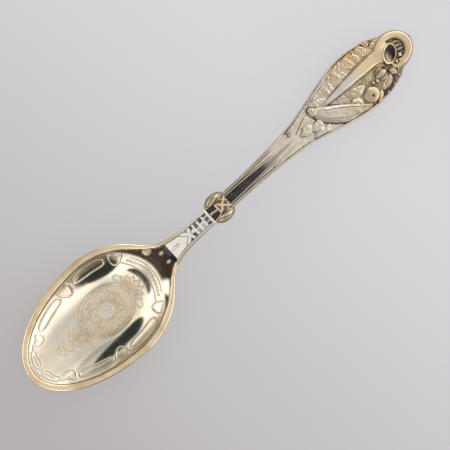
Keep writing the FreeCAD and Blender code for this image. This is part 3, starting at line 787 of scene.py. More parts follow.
# Cells between the brick courses: from, to along the spine, from, to across, and how dark
COURSES = (
    (19.25, 20.60, 0.92, 1.75, 0.9), (19.25, 20.60, -0.60, 0.66, 0.8), (19.25, 20.60, -1.72, -0.82, 0.9),
    (17.60, 18.85, 0.35, 1.80, 1.0), (17.60, 18.85, -1.80, -0.15, 0.35),
    (16.00, 17.20, -0.05, 1.80, 0.75), (16.00, 17.20, -1.80, -0.35, 0.5),
    (14.75, 15.55, 0.55, 1.80, 0.9), (14.75, 15.55, -1.75, -0.40, 0.75),
)
# Crossed strips, each from (d, q) to (d, q), and the short mark below them
STRIPS = (
    ((14.5, -2.2), (13.9, 0.1)), ((14.6, 2.2), (13.9, 0.1)),
    ((13.9, 0.1), (10.9, 2.6)), ((13.9, -0.1), (10.9, -2.6)),
)
MARK = ((7.8, 0.05), (9.8, 0.05))
EDGE_BAND = 0.95


def distance_to(path, p, q):
    """Distance from a point to a line through points."""
    nearest = 1e9
    for (a, b), (c, d) in zip(path, path[1:]):
        run, rise = c - a, d - b
        t = clamp(((p - a) * run + (q - b) * rise) / (run * run + rise * rise))
        nearest = min(nearest, math.hypot(p - a - t * run, q - b - t * rise))
    return nearest


def neck_cuts(d, q):
    """How far the neck's face is cut down at a place, and how dark the cut is."""
    half = neck_half(d)
    drop = dark = 0.0
    for start, end, right, left, tone in COURSES:
        inside = min(d - start, end - d, q - right, left - q)
        if inside > 0:
            deep = ease(0.0, 0.12, inside)
            drop, dark = 0.2 * deep, min(1.0, 1.15 * tone) * deep
            # Slanting tool marks on the cell's floor
            dark *= 1 - 0.5 * ridge((d * 1.1 + q * 0.6) % 0.7 - 0.35, 0.16)
    # The strips stand between cuts along both sides, and the ground about their crossing is cut away
    if 10.6 < d < 15.0:
        near = min(distance_to(strip, d, q) for strip in STRIPS)
        beside = ridge(near - 0.48, 0.17) * ease(half - 0.8, half - 1.1, abs(q))
        inner = ease(0.38, 0.5, near) * ease(12.7, 13.4, d) * ease(0.2, 0.5, abs(q))
        inner *= ease(half - 0.85, half - 1.1, abs(q))
        drop = max(drop, 0.16 * max(beside, inner))
        # The cuts right of the middle are painted darker, as shade
        dark = max(dark, (0.75 + 0.25 * (q < 0)) * max(beside, 0.85 * inner))
    mark = distance_to(MARK, d, q)
    drop = max(drop, 0.12 * ridge(mark - 0.28, 0.16)) - 0.1 * ridge(mark, 0.18)
    dark = max(dark, 0.4 * ridge(mark - 0.28, 0.16))
    # A fine line parts the edge bands from the face, and a second one runs on the bands
    line = ridge(abs(q) - (half - EDGE_BAND), 0.14)
    second = 0.6 * ridge(abs(q) - (half - 0.5), 0.10)
    # The heel's painted dark reflection reaches a little way on to the neck's face, and painted shade darkens
    # its right edge
    heel = 0.92 * ease(SEAM_AT + 1.05, SEAM_AT + 0.9, d) * (abs(q) < half - EDGE_BAND)
    dark = max(dark, heel, 0.7 * ridge(q + half - 0.2, 0.3))
    return max(drop, 0.18 * line, 0.1 * second), max(dark, 0.85 * line, second)


def neck_gilding(x, y):
    """Only the edge bands next to the bowl are gilt."""
    return 0.75 * ease(1.05, 0.9, flare_half(max(x, FLARE_BEND)) - abs(y)) * ease(60.0, 54.0, x)


# How far the drop under the heel laps under the bowl and runs into the neck, and its half width and depth at
# its root and at its tip
DROP_LAP, DROP_ROOT = 11.2, 1.0
DROP_HALF, DROP_DEPTH = (2.4, 0.7), (0.6, 0.35)


def neck_bar():
    """The struck neck with the drop that laps under the heel of the bowl."""
    def top(d, q):
        return rounded(neck_half(d), q, 0.45, NECK_TOP - neck_cuts(d, q)[0], NECK_TOP - 0.65)

    def bottom(d, q):
        half = neck_half(d)
        return -rounded(half, q, 1.1, 1.3, 0.0) if abs(q) < half - 1e-6 else NECK_TOP - 0.65

    def shade(d, q):
        return neck_cuts(d, q)[1] * ease(0.0, 0.3, neck_half(d) - abs(q))

    def drop(u, v):
        t, angle = (v + 1) / 2, math.pi * u
        x = mix(SEAM_POINT.x + DROP_ROOT, SEAM_POINT.x - DROP_LAP, t)
        half = mix(*DROP_HALF, t * t) * arch(4 * (1 - t) + 0.05)
        deep = mix(*DROP_DEPTH, t) * arch(3 * (1 - t) + 0.05)
        z = bowl_under(min(x, SEAM_POINT.x), 0.0) + (0.3 if math.sin(angle) > 0 else deep) * math.sin(angle)
        return Vector((x, half * math.cos(angle), z)), 0.0, 0.0

    bm = start_mesh()
    bar(bm, 84, 20, 170, SEAM_AT - 0.1, COLLAR_AT, neck_half, top, bottom, shade=shade)
    made = sheet(bm, 28, 60, drop)
    bmesh.ops.remove_doubles(bm, verts=made, dist=0.001)
    close_up(bm)
    finish_piece("neck_bar", bm, neck_silver, neck_gilding, ["neck"])


# ---------------------------------------------------------------- collar and knop

COLLAR_HALF, COLLAR_RISE, COLLAR_BULGE = 3.2, 2.2, 0.12


def collar_ring():
    """The thin oval ring between neck and knop, bulging all round."""
    bm = start_mesh()
    middle, half = (COLLAR_AT + KNOP_AT) / 2, (KNOP_AT - COLLAR_AT) / 2

    def place(u, v):
        angle = math.pi * u
        less = COLLAR_BULGE * v * v
        y, z = (COLLAR_HALF - less) * math.cos(angle), (COLLAR_RISE - less) * math.sin(angle)
        return on_spine(middle + half * v, y, z), 0.0, 0.0

    sheet(bm, 48, 6, place)
    close_up(bm)
    finish_piece("collar_ring", bm, neck_silver, lambda x, y: 0.2, ["collar"])


# The knop's middle and half length along the spine, its barrel's half width, and its lobes: half length,
# distance from the middle, half width and rise
KNOP_MIDDLE, KNOP_HALF, BARREL_HALF = (KNOP_AT + STEM_AT) / 2, (STEM_AT - KNOP_AT) / 2, 2.7
LOBE_LENGTH, LOBE_OUT, LOBE_WIDTH, LOBE_RISE = 3.05, 2.45, 1.75, 2.8
# Straps over the barrel: points (d, q) and radius
STRAPS = (
    (((27.4, 1.5), (26.4, 0.8), (25.3, -0.3), (24.5, -1.3)), 0.34),
    (((27.4, -1.5), (26.4, -0.8), (25.3, 0.3), (24.5, 1.3)), 0.34),
    (((27.3, 0.2), (26.6, 1.2), (25.6, 1.9)), 0.22), (((27.3, -0.2), (26.6, -1.3), (25.6, -1.9)), 0.22),
    (((24.05, -2.1), (24.15, -0.7), (24.05, 0.7), (24.15, 2.1)), 0.26),
    (((21.5, 0.25), (22.8, 0.12), (23.9, -0.1)), 0.26), (((21.5, -2.0), (22.6, -1.9), (23.9, -1.5)), 0.26),
    (((21.5, 2.1), (22.8, 2.0), (23.9, 1.7)), 0.24),
)


def knop_core(d, angle):
    """Across and rise of the knop's barrel between its two lobes."""
    swell = math.cos(math.pi / 2 * clamp(abs(d - KNOP_MIDDLE) / KNOP_HALF)) ** 0.6
    return BARREL_HALF * math.cos(angle), mix(1.9, 2.65, swell) * math.sin(angle)


def knop_face(d, q):
    """A point on the barrel's upper side with its upward direction."""
    rise = knop_core(d, math.acos(clamp(q / BARREL_HALF, -1, 1)))[1]
    return on_spine(d, q, rise + 0.02), (on_spine(d, 0.25 * q, 1.0) - on_spine(d, 0, 0)).normalized()


def knop_boss():
    """A barrel with two arches and crossed straps between two fluted lobes."""
    bm = start_mesh()
    tarnish_and_shade = bm.verts.layers.float["tarnish_and_shade"]

    def core(u, v):
        angle, d = math.pi * u, KNOP_MIDDLE + KNOP_HALF * v
        q, rise = knop_core(d, angle)
        # The barrel is painted with shade all over, darker in its arches and on the ground under the straps
        arches = ease(0.15, 0.35, abs(q)) * ease(2.1, 1.9, abs(q)) * ease(24.0, 23.8, d) if rise > 0 else 0.0
        straps = 0.75 * ease(24.1, 24.4, d) if rise > 0 else 0.3
        return on_spine(d, q, rise - 0.25 * arches), max(arches, straps, 0.6), 0.0

    sheet(bm, 96, 60, core)
    close_up(bm)
    for side in (1, -1):
        made = bmesh.ops.create_uvsphere(bm, u_segments=96, v_segments=48, radius=1.0)["verts"]
        for vert in made:
            a, b, c = vert.co
            # Each lobe is cut with a few curved flutes
            turn = math.atan2(c, b * side) / math.pi
            flute = ridge((turn * 4 + 0.9 * a) % 1.0 - 0.5, 0.18) * ease(1.0, 0.7, abs(a))
            out = 1 - 0.075 * flute
            across = side * LOBE_OUT + LOBE_WIDTH * b * out
            vert.co = on_spine(KNOP_MIDDLE + LOBE_LENGTH * a, across, LOBE_RISE * c * out)
            # The lobes are painted with shade on their inner sides and low down, and their flutes hold
            # tarnish
            inner = ease(0.2, -0.5, b * side)
            vert[tarnish_and_shade] = clamp(0.9 * flute + 0.45 * inner + 0.16 + 0.2 * ease(0.9, 0.5, c))
    for points, radius in STRAPS:
        cord(bm, [knop_face(d, q) for d, q in smooth_line(points, 8)], radius, False, 10, 0.75, 0.9)
    finish_piece("knop_boss", bm, relief_gilt, lambda x, y: 0.55 + 0.3 * (y > 0), ["knop"])


# ---------------------------------------------------------------- handle: stem and plate

def leaf_half(p):
    """Half width of the plate's leaf shape."""
    if p < PLATE_WIDEST:
        share = p / PLATE_WIDEST
        swell = 0.35 * math.sin(math.pi / 2 * share) + 0.65 * share * share * (3 - 2 * share)
        return mix(3.65, PLATE_HALF, swell)
    return PLATE_HALF * math.sqrt(max(0.0, 1 - ((p - PLATE_WIDEST) / SHOULDER_REACH) ** 2))


def painted_edge_shade(p, q):
    """Painted shade on the plate's edges towards the horn's mouth: broad on the right, narrow on the left."""
    right = ease(2.4, 1.0, leaf_half(p) + q) * ease(26.0, 29.0, p) * ease(41.0, 38.0, p)
    left = ease(1.2, 0.4, leaf_half(p) - q) * ease(29.0, 33.0, p)
    return 0.75 * max(right, 0.8 * left)


def crown_half(p):
    """Half width of the oval that crowns the plate."""
    share = (p - CROWN_CENTRE) / CROWN_LENGTH
    return CROWN_HALF * math.sqrt(max(0.0, 1 - share * share))


def handle_half(d):
    """Half width of stem and plate at a distance along the spine."""
    p = d - PLATE_AT
    if p >= 0:
        return max(leaf_half(p), crown_half(p), 0.02)
    along = clamp((d - STEM_AT) / (PLATE_AT - STEM_AT))
    return STEM_HALF - 0.2 * along * (1 - along) + 1.05 * along ** 2.2


# The stem's central flute ends in a point, and its side lines fade out before the plate
FLUTE_END, FLUTE_POINT = STEM_AT + 14.8, 10.0
LINES_FADE, LINES_END, SIDES_END = PLATE_AT - 9, PLATE_AT - 4, PLATE_AT + 33
# The plate's raised edge
PLATE_EDGE = 0.62


def flute_lines(d):
    """Half width of the central flute, and how deep it is."""
    share = clamp((d - STEM_AT) / (FLUTE_END - STEM_AT))
    past = clamp((d - FLUTE_END) / FLUTE_POINT)
    return mix(1.15, 0.62, share ** 1.6) * mix(1.0, 0.3, past), mix(0.85, 0.3, share)


def handle_cuts(d, q):
    """How far the handle's face is cut down at a place, and how dark the cut is."""
    half, a = handle_half(d), abs(q)
    flute, depth = flute_lines(d)
    past = clamp((d - FLUTE_END) / FLUTE_POINT)
    channel = ease(flute + 0.1, flute - 0.2, a) * (1 - ease(0.6, 1.0, past))
    drop, dark = depth * channel, channel * mix(0.88, 0.42, ease(FLUTE_END - 3, FLUTE_END + 1, d))
    on_the_plate = ease(LINES_FADE, LINES_END, d)
    lines = ((flute + 0.40, 0.13, 0.22), (half - 0.95, 0.16, 0.28), (half - 0.45, 0.10, 0.14))
    for line, width, deep in lines:
        cut = (1 - on_the_plate) * ridge(a - line, width)
        drop, dark = max(drop, deep * cut), max(dark, 0.85 * cut)
    if on_the_plate > 0:
        sides = on_the_plate * (1 - ease(SIDES_END, SIDES_END + 3, d))
        drop = max(drop, 0.25 * sides * ease(half - PLATE_EDGE + 0.2, half - PLATE_EDGE, a))
        dark = max(dark, painted_edge_shade(d - PLATE_AT, q), 0.35 * sides * ridge(a - (half - PLATE_EDGE), 0.16))
        drop -= 0.05 * sides * noise.noise(Vector((d * 0.9, q * 0.9, 3.0)))
    return drop, dark


HANDLE_WORN, HANDLE_WHOLE = on_plate(11.0, 0, 0).x, on_plate(28.0, 0, 0).x


def handle_gilding(x, y):
    """The gilding is whole at the handle's upper end and worn to grey-white towards the stem."""
    return mix(0.22, 1.0, ease(HANDLE_WORN, HANDLE_WHOLE, x))


def handle_bar():
    """The fluted stem and the plate in one, its rows closing up towards the plate's round end."""
    crown_share = (PLATE_AT + CROWN_CENTRE - STEM_AT) / (END_AT - STEM_AT)
    even_rows = 0.88

    def top(d, q):
        return rounded(handle_half(d), q, 0.42, handle_rise(d) - handle_cuts(d, q)[0], 0.0)

    def bottom(d, q):
        return -rounded(handle_half(d), q, 0.5, handle_rise(d), 0.0)

    def spread(share):
        if share < even_rows:
            return crown_share * share / even_rows
        return mix(crown_share, 1.0, math.sin(math.pi / 2 * (share - even_rows) / (1 - even_rows)))

    def shade(d, q):
        return handle_cuts(d, q)[1] * ease(0.0, 0.35, handle_half(d) - abs(q))

    bm = start_mesh()
    bar(bm, 96, 24, 340, STEM_AT - 0.6, END_AT, handle_half, top, bottom, spread, shade)
    finish_piece("handle_bar", bm, relief_gilt, handle_gilding, ["handle"])


# ---------------------------------------------------------------- relief on the handle's plate

# How deep the lower edge of a relief form stands in the plate
SUNK = -0.3


def pad(bm, outline, height, veins=(), hatch=0.0, cells=34, cut=0.13, ground=0.0, grow=1.0, lumps=0.1):
    """A swelling form on the plate inside a closed outline of a few points (p, q), rounded from its edge to
    its height. veins are lines cut into it as deep as cut, hatch the spacing of fine lines, ground the
    tarnish and painted shade all over it, lumps the height of its unevenness, and grow enlarges its outline."""
    count = 120
    edge = [curve_point(outline, n / count) for n in range(count + 1)]
    centre = [sum(point[axis] for point in edge[:-1]) / count for axis in (0, 1)]
    cuts = [smooth_line(vein, 4) for vein in veins]

    def place(u, v):
        r, angle = round_out(u, v)
        n = (angle / (2 * math.pi)) % 1.0 * count
        a, b = edge[int(n) % count], edge[int(n) % count + 1]
        k = n - int(n)
        spread = 0.7 * r + 0.3 * math.sin(math.pi / 2 * r)
        p = mix(centre[0], mix(a[0], b[0], k), grow * spread)
        q = mix(centre[1], mix(a[1], b[1], k), grow * spread)
        rise = height * max(0.0, 1 - spread ** 3.2) ** 0.6
        uneven = noise.noise(Vector((p * 1.25, q * 1.25, height * 9))) * ease(1.0, 0.8, spread)
        rise += lumps * uneven
        line = max((ridge(distance_to(path, p, q), 0.16) for path in cuts), default=0.0)
        line *= ease(1.0, 0.9, spread)
        fine = ridge((0.35 * p + 0.94 * q) / hatch % 1.0 - 0.5, 0.3) if hatch else 0.0
        fine *= ease(1.0, 0.85, spread)
        rise -= cut * line + 0.10 * fine
        # Its slopes, the hollows of its lumps and the plate's edges are painted with shade; its cut and fine
        # lines hold tarnish
        slope = (0.4 * ease(0.55, 0.86, spread) + 0.5 * ease(0.9, 0.98, spread)) * min(1.0, height / 0.7)
        pits = 1.6 * lumps * ease(0.12, 0.5, -uneven)
        deep = max(ground, slope, 0.75 * line, 0.6 * fine, painted_edge_shade(p, q), pits)
        if r > 0.999:
            rise, deep = SUNK, 1.0
        return on_plate(p, q, rise), deep, 0.0

    fill_open(bm, sheet(bm, cells, cells, place))


def fruit(bm, centre, size, height, ridges, stretch, turn, dimple):
    """A fruit half sunk in the plate, stretched and turned, with a number of ridges that run along it, or a
    dimple on its crown."""
    made = bmesh.ops.create_uvsphere(bm, u_segments=56, v_segments=36, radius=1.0)["verts"]
    tarnish_and_shade = bm.verts.layers.float["tarnish_and_shade"]
    ahead = Vector((math.cos(math.radians(turn)), math.sin(math.radians(turn))))
    for vert in made:
        a, b, c = vert.co
        furrow = abs(math.sin(ridges * math.atan2(c, b) / 2)) if ridges else 1.0
        radius = size / 2 * (0.86 + 0.14 * furrow ** 0.5)
        hole = dimple * math.exp(-((a + 0.1) ** 2 + (b + 0.15) ** 2) / 0.02) if dimple and c > 0 else 0.0
        x, y = a * radius * stretch, b * radius
        flat = Vector(centre) + ahead * x + Vector((-ahead.y, ahead.x)) * y
        rise = (c * height if c > 0 else 0.4 * c) * (0.88 + 0.12 * furrow) - hole
        vert.co = on_plate(flat.x, flat.y, rise)
        # Its sides and its dimple are painted with shade; its furrows hold tarnish
        slope = 0.4 * ease(0.7, 0.4, c) + 0.6 * ease(0.35, 0.15, c)
        vert[tarnish_and_shade] = clamp(0.26 + slope + (1 - furrow ** 0.6) * 0.8 + hole * 2.4)


def bead(bm, centre, size, lift):
    """A small round berry whose middle lies a lift above the plate."""
    made = bmesh.ops.create_uvsphere(bm, u_segments=16, v_segments=12, radius=size / 2)["verts"]
    tarnish_and_shade = bm.verts.layers.float["tarnish_and_shade"]
    for vert in made:
        a, b, c = vert.co
        vert.co = on_plate(centre[0] + a, centre[1] + b, c + lift)
        # Its lower half is painted with shade
        vert[tarnish_and_shade] = 0.6 * ease(0.45 * size, 0.1 * size, c) + 0.4 * ease(0.1 * size, -0.05 * size, c)


def blossom(bm, centre, size, petals, turn, lift):
    """A small flower: round petals about a bead."""
    for n in range(petals):
        a, out = 2 * math.pi * n / petals + math.radians(turn), 0.31 * size
        bead(bm, (centre[0] + out * math.cos(a), centre[1] + out * math.sin(a)), 0.44 * size, lift)
    bead(bm, centre, 0.32 * size, lift + 0.3)


# The horn from its point to under its mouth, where it has grown to its full width, and where its flare ends
# and it has closed in again
HORN_START, HORN_FULL, HORN_END = 11.6, 28.0, 37.2
FLARE_TOP, HORN_CLOSED = 34.6, 37.0
# The mouth's middle (p, q), half length and half width, and the direction of its length
MOUTH, MOUTH_SEMI = (35.6, -0.1), (2.95, 1.8)
MOUTH_COS, MOUTH_SIN = math.cos(math.radians(38)), math.sin(math.radians(38))
# From the plate up its outside, over its lip and down into its dish: share of its half widths, and rise
MOUTH_PROFILE = (
    (1.0, -0.3), (1.0, 1.5), (1.03, 1.95), (0.97, 2.12), (0.86, 2.0), (0.78, 1.55), (0.5, 1.05), (0.02, 0.9),
)
# Fine cords beside the horn: side, distance from it and radius
HORN_CORDS = ((1, 0.16, 0.12), (-1, 0.14, 0.11), (-1, 0.42, 0.12))
HORN_WORN, HORN_WHOLE = on_plate(22.0, 0, 0).x, on_plate(29.0, 0, 0).x


def horn_middle(p):
    """Where the horn's middle line lies across the plate: a slight curve."""
    bend = 0.9 * ease(FLARE_TOP, HORN_CLOSED, p) - 0.6 * ease(30.5, 34.5, p)
    return mix(1.5, 1.7, ease(14.0, 26.0, p)) + bend


def horn_half(p):
    """The horn's half width: it grows from its point, and flares before its mouth."""
    along = clamp((p - HORN_START) / (HORN_FULL - HORN_START))
    flare = 0.35 * ease(HORN_FULL, 33.0, p) + 0.55 * ease(31.0, FLARE_TOP, p)
    flare -= 0.95 * ease(FLARE_TOP, HORN_CLOSED, p)
    return mix(0.4, 1.85, along ** 0.65) + 0.8 * flare


def mouth_share(p, q):
    """0 at the middle of the horn's mouth and 1 on its lip."""
    p, q = p - MOUTH[0], q - MOUTH[1]
    return math.hypot((MOUTH_COS * p + MOUTH_SIN * q) / MOUTH_SEMI[0],
                      (MOUTH_COS * q - MOUTH_SIN * p) / MOUTH_SEMI[1])


def horn_gilding(x, y):
    """The horn is polished to silver in its lower half."""
    return ease(HORN_WORN, HORN_WHOLE, x)


def horn():
    """The smooth horn of plenty with its dished mouth, between fine cords."""
    bm = start_mesh()
    up = (on_plate(10, 0, 1) - on_plate(10, 0, 0)).normalized()

    def body(u, v):
        p = mix(HORN_START, HORN_END, (v + 1) / 2)
        half = horn_half(p)
        q = horn_middle(p) + u * half
        rise = (0.75 + 0.4 * half) * math.sqrt(max(0.0, 1 - abs(u) ** 2.6))
        rise *= ease(HORN_START - 1.5, HORN_START + 2, p)
        line = ridge(abs(u) * half - (half - 0.34), 0.13)
        # Its sides are painted with shade and its grooves hold tarnish
        deep = max(0.5 * line, 0.3 * ease(0.55, 0.9, abs(u)) + 0.6 * ease(0.92, 1.0, abs(u)))
        rise = mix(rise - 0.14 * line, 0.3, ease(1.0, 0.9, mouth_share(p, q)))
        if abs(u) > 0.999 or abs(v) > 0.999:
            rise, deep = SUNK, 1.0
        return on_plate(p, q, rise), deep, 0.0

    def mouth(u, v):
        angle, t = math.pi * u, (v + 1) / 2
        last = len(MOUTH_PROFILE) - 1
        n = min(t * last, last - 1e-6)
        (near, low), (far, high) = MOUTH_PROFILE[int(n)], MOUTH_PROFILE[int(n) + 1]
        out, rise = mix(near, far, n - int(n)), mix(low, high, n - int(n))
        x, y = out * MOUTH_SEMI[0] * math.cos(angle), out * MOUTH_SEMI[1] * math.sin(angle)
        p, q = MOUTH_COS * x - MOUTH_SIN * y, MOUTH_SIN * x + MOUTH_COS * y
        # The dish within the lip is painted dark as a reflection, more so at one end, and the outside with
        # shade towards its foot
        inside = ease(0.88, 0.76, out) * mix(0.4, 0.95, ease(-1.2, 0.8, p))
        return on_plate(MOUTH[0] + p, MOUTH[1] + q, rise), inside if t > 0.5 else ease(1.2, 0.4, rise), 0.0

    fill_open(bm, sheet(bm, 40, 130, body))
    made = sheet(bm, 72, 42, mouth)
    bmesh.ops.remove_doubles(bm, verts=made, dist=0.001)
    fill_open(bm, made)
    for side, out, radius in HORN_CORDS:
        edge = [(p, horn_middle(p) + side * (horn_half(p) + out)) for p in range(15, 34)]
        cord(bm, [(on_plate(p, q, 0.3), up) for p, q in smooth_line(edge, 8)], radius, False, 8, 0.9, 0.0)
    finish_piece("horn_of_plenty", bm, relief_gilt, horn_gilding, ["horn"])


def crest():
    """A leaf that curls round the plate's end: a smooth rolled edge about a hollow with folds."""
    bm = start_mesh()
    half_length, half_width = CROWN_LENGTH - 0.3, CROWN_HALF - 0.25

    def place(u, v):
        r, angle = round_out(u, v)
        p, q = half_length * r * math.cos(angle), half_width * r * math.sin(angle)
        left = ease(-0.4, 0.6, q / half_width)
        # The rolled edge reaches lower on the left than on the right, where it is drawn in fine lines
        inner = mix(0.54, 0.58, left)
        across = abs((r - (1 + inner) / 2) / ((1 - inner) / 2))
        roll = math.sqrt(max(0.0, 1 - across ** 2.6)) if r > inner else 0.0
        reach = ease(mix(-0.3, -0.95, left), mix(0.05, -0.6, left), math.cos(angle))
        roll *= reach
        streak = (1 - left) * reach * (0.5 + 0.5 * math.sin(42 * r)) * ease(1.0, 0.8, across)
        rise = 0.3 + 0.95 * roll - 0.06 * streak
        inside = ease(inner + 0.04, inner - 0.1, r)
        fan = 0.5 + 0.5 * math.sin(5.2 * q + 3.4 * p + 1.5 * math.sin(1.7 * p))
        rise += inside * (0.3 * fan + 0.25)
        # The hollow and its folds, the roll's slopes, its inner edge, its foot and the ground under the mouth
        # are painted with shade; the streaks hold tarnish
        slope = 0.55 * ease(0.5, 0.9, across) * reach
        deep = max(inside * (0.45 + 0.5 * ease(0.7, 0.2, fan)), slope, 0.2 * streak,
                   0.8 * ridge(r - inner, 0.05) * reach)
        under_mouth = ease(1.25, 1.05, mouth_share(CROWN_CENTRE + p, q))
        rise, deep = mix(rise, 0.3, under_mouth), max(deep, 0.8 * under_mouth, ease(0.97, 1.0, r) * 0.7)
        if r > 0.999:
            rise, deep = SUNK, 1.0
        return on_plate(CROWN_CENTRE + p, q, rise), deep, 0.0

    fill_open(bm, sheet(bm, 110, 110, place))
    finish_piece("crest_leaf", bm, relief_gilt, handle_gilding, ["crest"])


# The leaf's blade and the roll at its foot, each with the lines cut into it
LONG_LEAF = (
    (8.4, 3.6), (10.6, 2.6), (13.2, 0.9), (16.0, -0.9), (18.8, -2.9), (21.4, -5.4), (23.6, -7.2),
    (22.2, -7.7), (19.8, -7.3), (16.2, -6.8), (13.4, -5.8), (11.0, -3.9), (9.0, -1.6), (7.9, 0.6), (7.3, 2.5),
)
LONG_LEAF_VEINS = (
    ((11.2, 0.4), (14.6, -1.6), (18.4, -4.3), (21.8, -7.0)),
    ((9.4, -0.6), (11.6, -2.8), (14.6, -4.8), (18.6, -6.6)),
)
LEAF_ROLL = ((10.2, 2.6), (9.9, 1.3), (8.7, 0.4), (7.6, 1.3), (7.5, 2.9), (8.6, 3.9))
LEAF_ROLL_VEINS = (
    ((9.6, 2.4), (8.7, 1.9), (7.9, 1.9)), ((9.4, 1.5), (8.7, 1.2), (8.2, 1.3)),
    ((9.3, 3.1), (8.6, 2.7), (7.9, 2.6)),
)


def long_leaf():
    """The broad smooth leaf that crosses the foot of the horn, rolled over at its foot."""
    bm = start_mesh()
    pad(bm, LONG_LEAF, 1.15, LONG_LEAF_VEINS, cells=90, cut=0.16)
    pad(bm, LEAF_ROLL, 1.45, LEAF_ROLL_VEINS)
    finish_piece("long_leaf_blade", bm, relief_gilt, handle_gilding, ["long_leaf"])


# Forms right of the horn: outline, height, cut lines and spacing of fine lines
RIGHT_FORMS = (
    (((14.2, 0.7), (17.0, 0.4), (20.4, -0.4), (20.3, -1.8), (19.0, -2.9), (17.0, -2.1), (15.0, -0.5)), 0.85,
     (((15.4, 0.2), (17.4, -0.5), (19.4, -1.6)),), 0.0),
    (((24.8, -1.8), (23.6, -2.9), (21.9, -3.4), (20.1, -2.6), (19.4, -1.0), (20.6, -0.1), (22.8, -0.6)), 1.15,
     (((23.9, -1.9), (22.4, -1.6), (20.6, -1.2)),), 0.0),
    (((21.0, -2.9), (21.7, -4.0), (21.4, -5.6), (19.9, -6.3), (18.3, -4.9), (17.9, -3.3), (19.2, -2.6)), 1.0,
     (((19.0, -3.5), (20.0, -4.4), (20.6, -5.4)),), 0.0),
    (((24.4, -0.3), (27.4, 0.0), (28.7, -0.4), (28.5, -1.9), (26.6, -2.5), (24.8, -2.0)), 0.8, (), 0.5),
    (((27.7, -5.7), (27.4, -6.9), (25.9, -7.8), (24.4, -7.9), (25.4, -7.0), (26.4, -6.0)), 1.1, (), 0.0),
    (((32.7, -4.1), (32.4, -5.4), (31.0, -6.6), (28.6, -6.9), (27.9, -6.0), (28.8, -4.8), (30.6, -4.3)), 1.05,
     (((31.9, -5.2), (30.4, -5.9), (28.9, -6.3)), ((31.6, -4.7), (30.2, -5.2), (29.0, -5.6))), 0.0),
    (((35.9, -3.2), (36.2, -4.6), (35.0, -6.2), (32.6, -6.9), (31.8, -6.3), (33.6, -5.8), (35.0, -4.4)), 0.9,
     (((35.5, -4.4), (34.4, -5.8), (32.8, -6.5)),), 0.0),
)
# Forms left of the horn: outline, height and cut lines
LEFT_FORMS = (
    (((36.9, 4.4), (35.9, 5.5), (33.9, 5.6), (32.9, 4.8), (33.5, 4.0), (35.4, 3.5)), 1.15, ()),
    (((31.9, 5.9), (30.9, 7.0), (29.3, 7.0), (28.5, 5.9), (29.0, 4.5), (30.6, 4.0), (31.8, 4.8)), 1.15,
     (((30.3, 5.3), (30.8, 5.8), (30.2, 6.3), (29.4, 5.7), (29.8, 4.7), (31.0, 4.8), (31.5, 5.8)),)),
    (((28.7, 4.3), (28.9, 5.4), (28.2, 6.5), (27.0, 6.6), (26.2, 5.6), (26.5, 4.4), (27.6, 3.8)), 0.95,
     (((27.4, 5.2), (27.8, 5.5), (27.4, 5.9), (26.8, 5.3), (27.3, 4.6), (28.2, 4.9)),)),
    (((26.7, 4.2), (26.6, 5.8), (25.8, 7.1), (24.2, 7.0), (23.3, 5.9), (23.7, 4.4), (25.2, 3.8)), 1.1,
     (((26.0, 5.0), (25.0, 5.6), (24.2, 5.7)),)),
    (((24.1, 7.3), (22.0, 7.2), (19.4, 6.6), (17.8, 5.9), (20.5, 5.4), (23.0, 6.1)), 0.8,
     (((22.8, 6.7), (20.6, 6.2), (18.8, 5.9)),)),
    (((23.3, 3.6), (23.1, 5.1), (21.0, 5.5), (18.7, 4.9), (18.0, 3.6), (19.6, 2.9), (21.8, 3.1)), 0.85, ()),
    (((17.9, 3.1), (18.0, 4.9), (16.0, 5.3), (14.4, 4.2), (14.9, 2.9), (16.4, 2.5)), 0.9,
     (((17.2, 4.2), (16.0, 4.1), (15.2, 3.6)),)),
    (((16.9, 6.0), (14.2, 5.4), (11.2, 4.9), (10.8, 4.3), (13.6, 4.4), (15.8, 5.2)), 0.6, ()),
    (((14.1, 2.8), (13.5, 1.3), (11.8, 1.5), (9.8, 2.9), (9.3, 4.2), (11.5, 4.0)), 0.9, ()),
)
# Low ground under the forms on each side of the horn
RIGHT_GROUND = (
    (36.6, -3.2), (34.4, -5.9), (31.4, -7.2), (27.0, -7.8), (22.6, -7.5), (18.0, -4.6), (13.6, 0.6),
    (18.0, 0.3), (24.0, 0.2), (30.0, -0.3), (34.0, -0.9),
)
LEFT_GROUND = (
    (36.4, 3.2), (34.4, 5.4), (31.0, 6.9), (27.0, 7.6), (23.0, 7.5), (18.0, 6.4), (12.0, 5.0), (9.6, 4.3),
    (11.5, 2.4), (14.0, 1.8), (18.0, 2.9), (26.0, 3.4), (32.0, 4.1),
)
# The hollow at the plate's right edge, painted dark as shade
DARK_HOLLOW = (
    (36.2, -4.3), (34.6, -5.9), (31.0, -7.4), (27.2, -7.8),
    (26.6, -6.4), (28.6, -5.3), (31.6, -4.9), (34.2, -3.6),
)
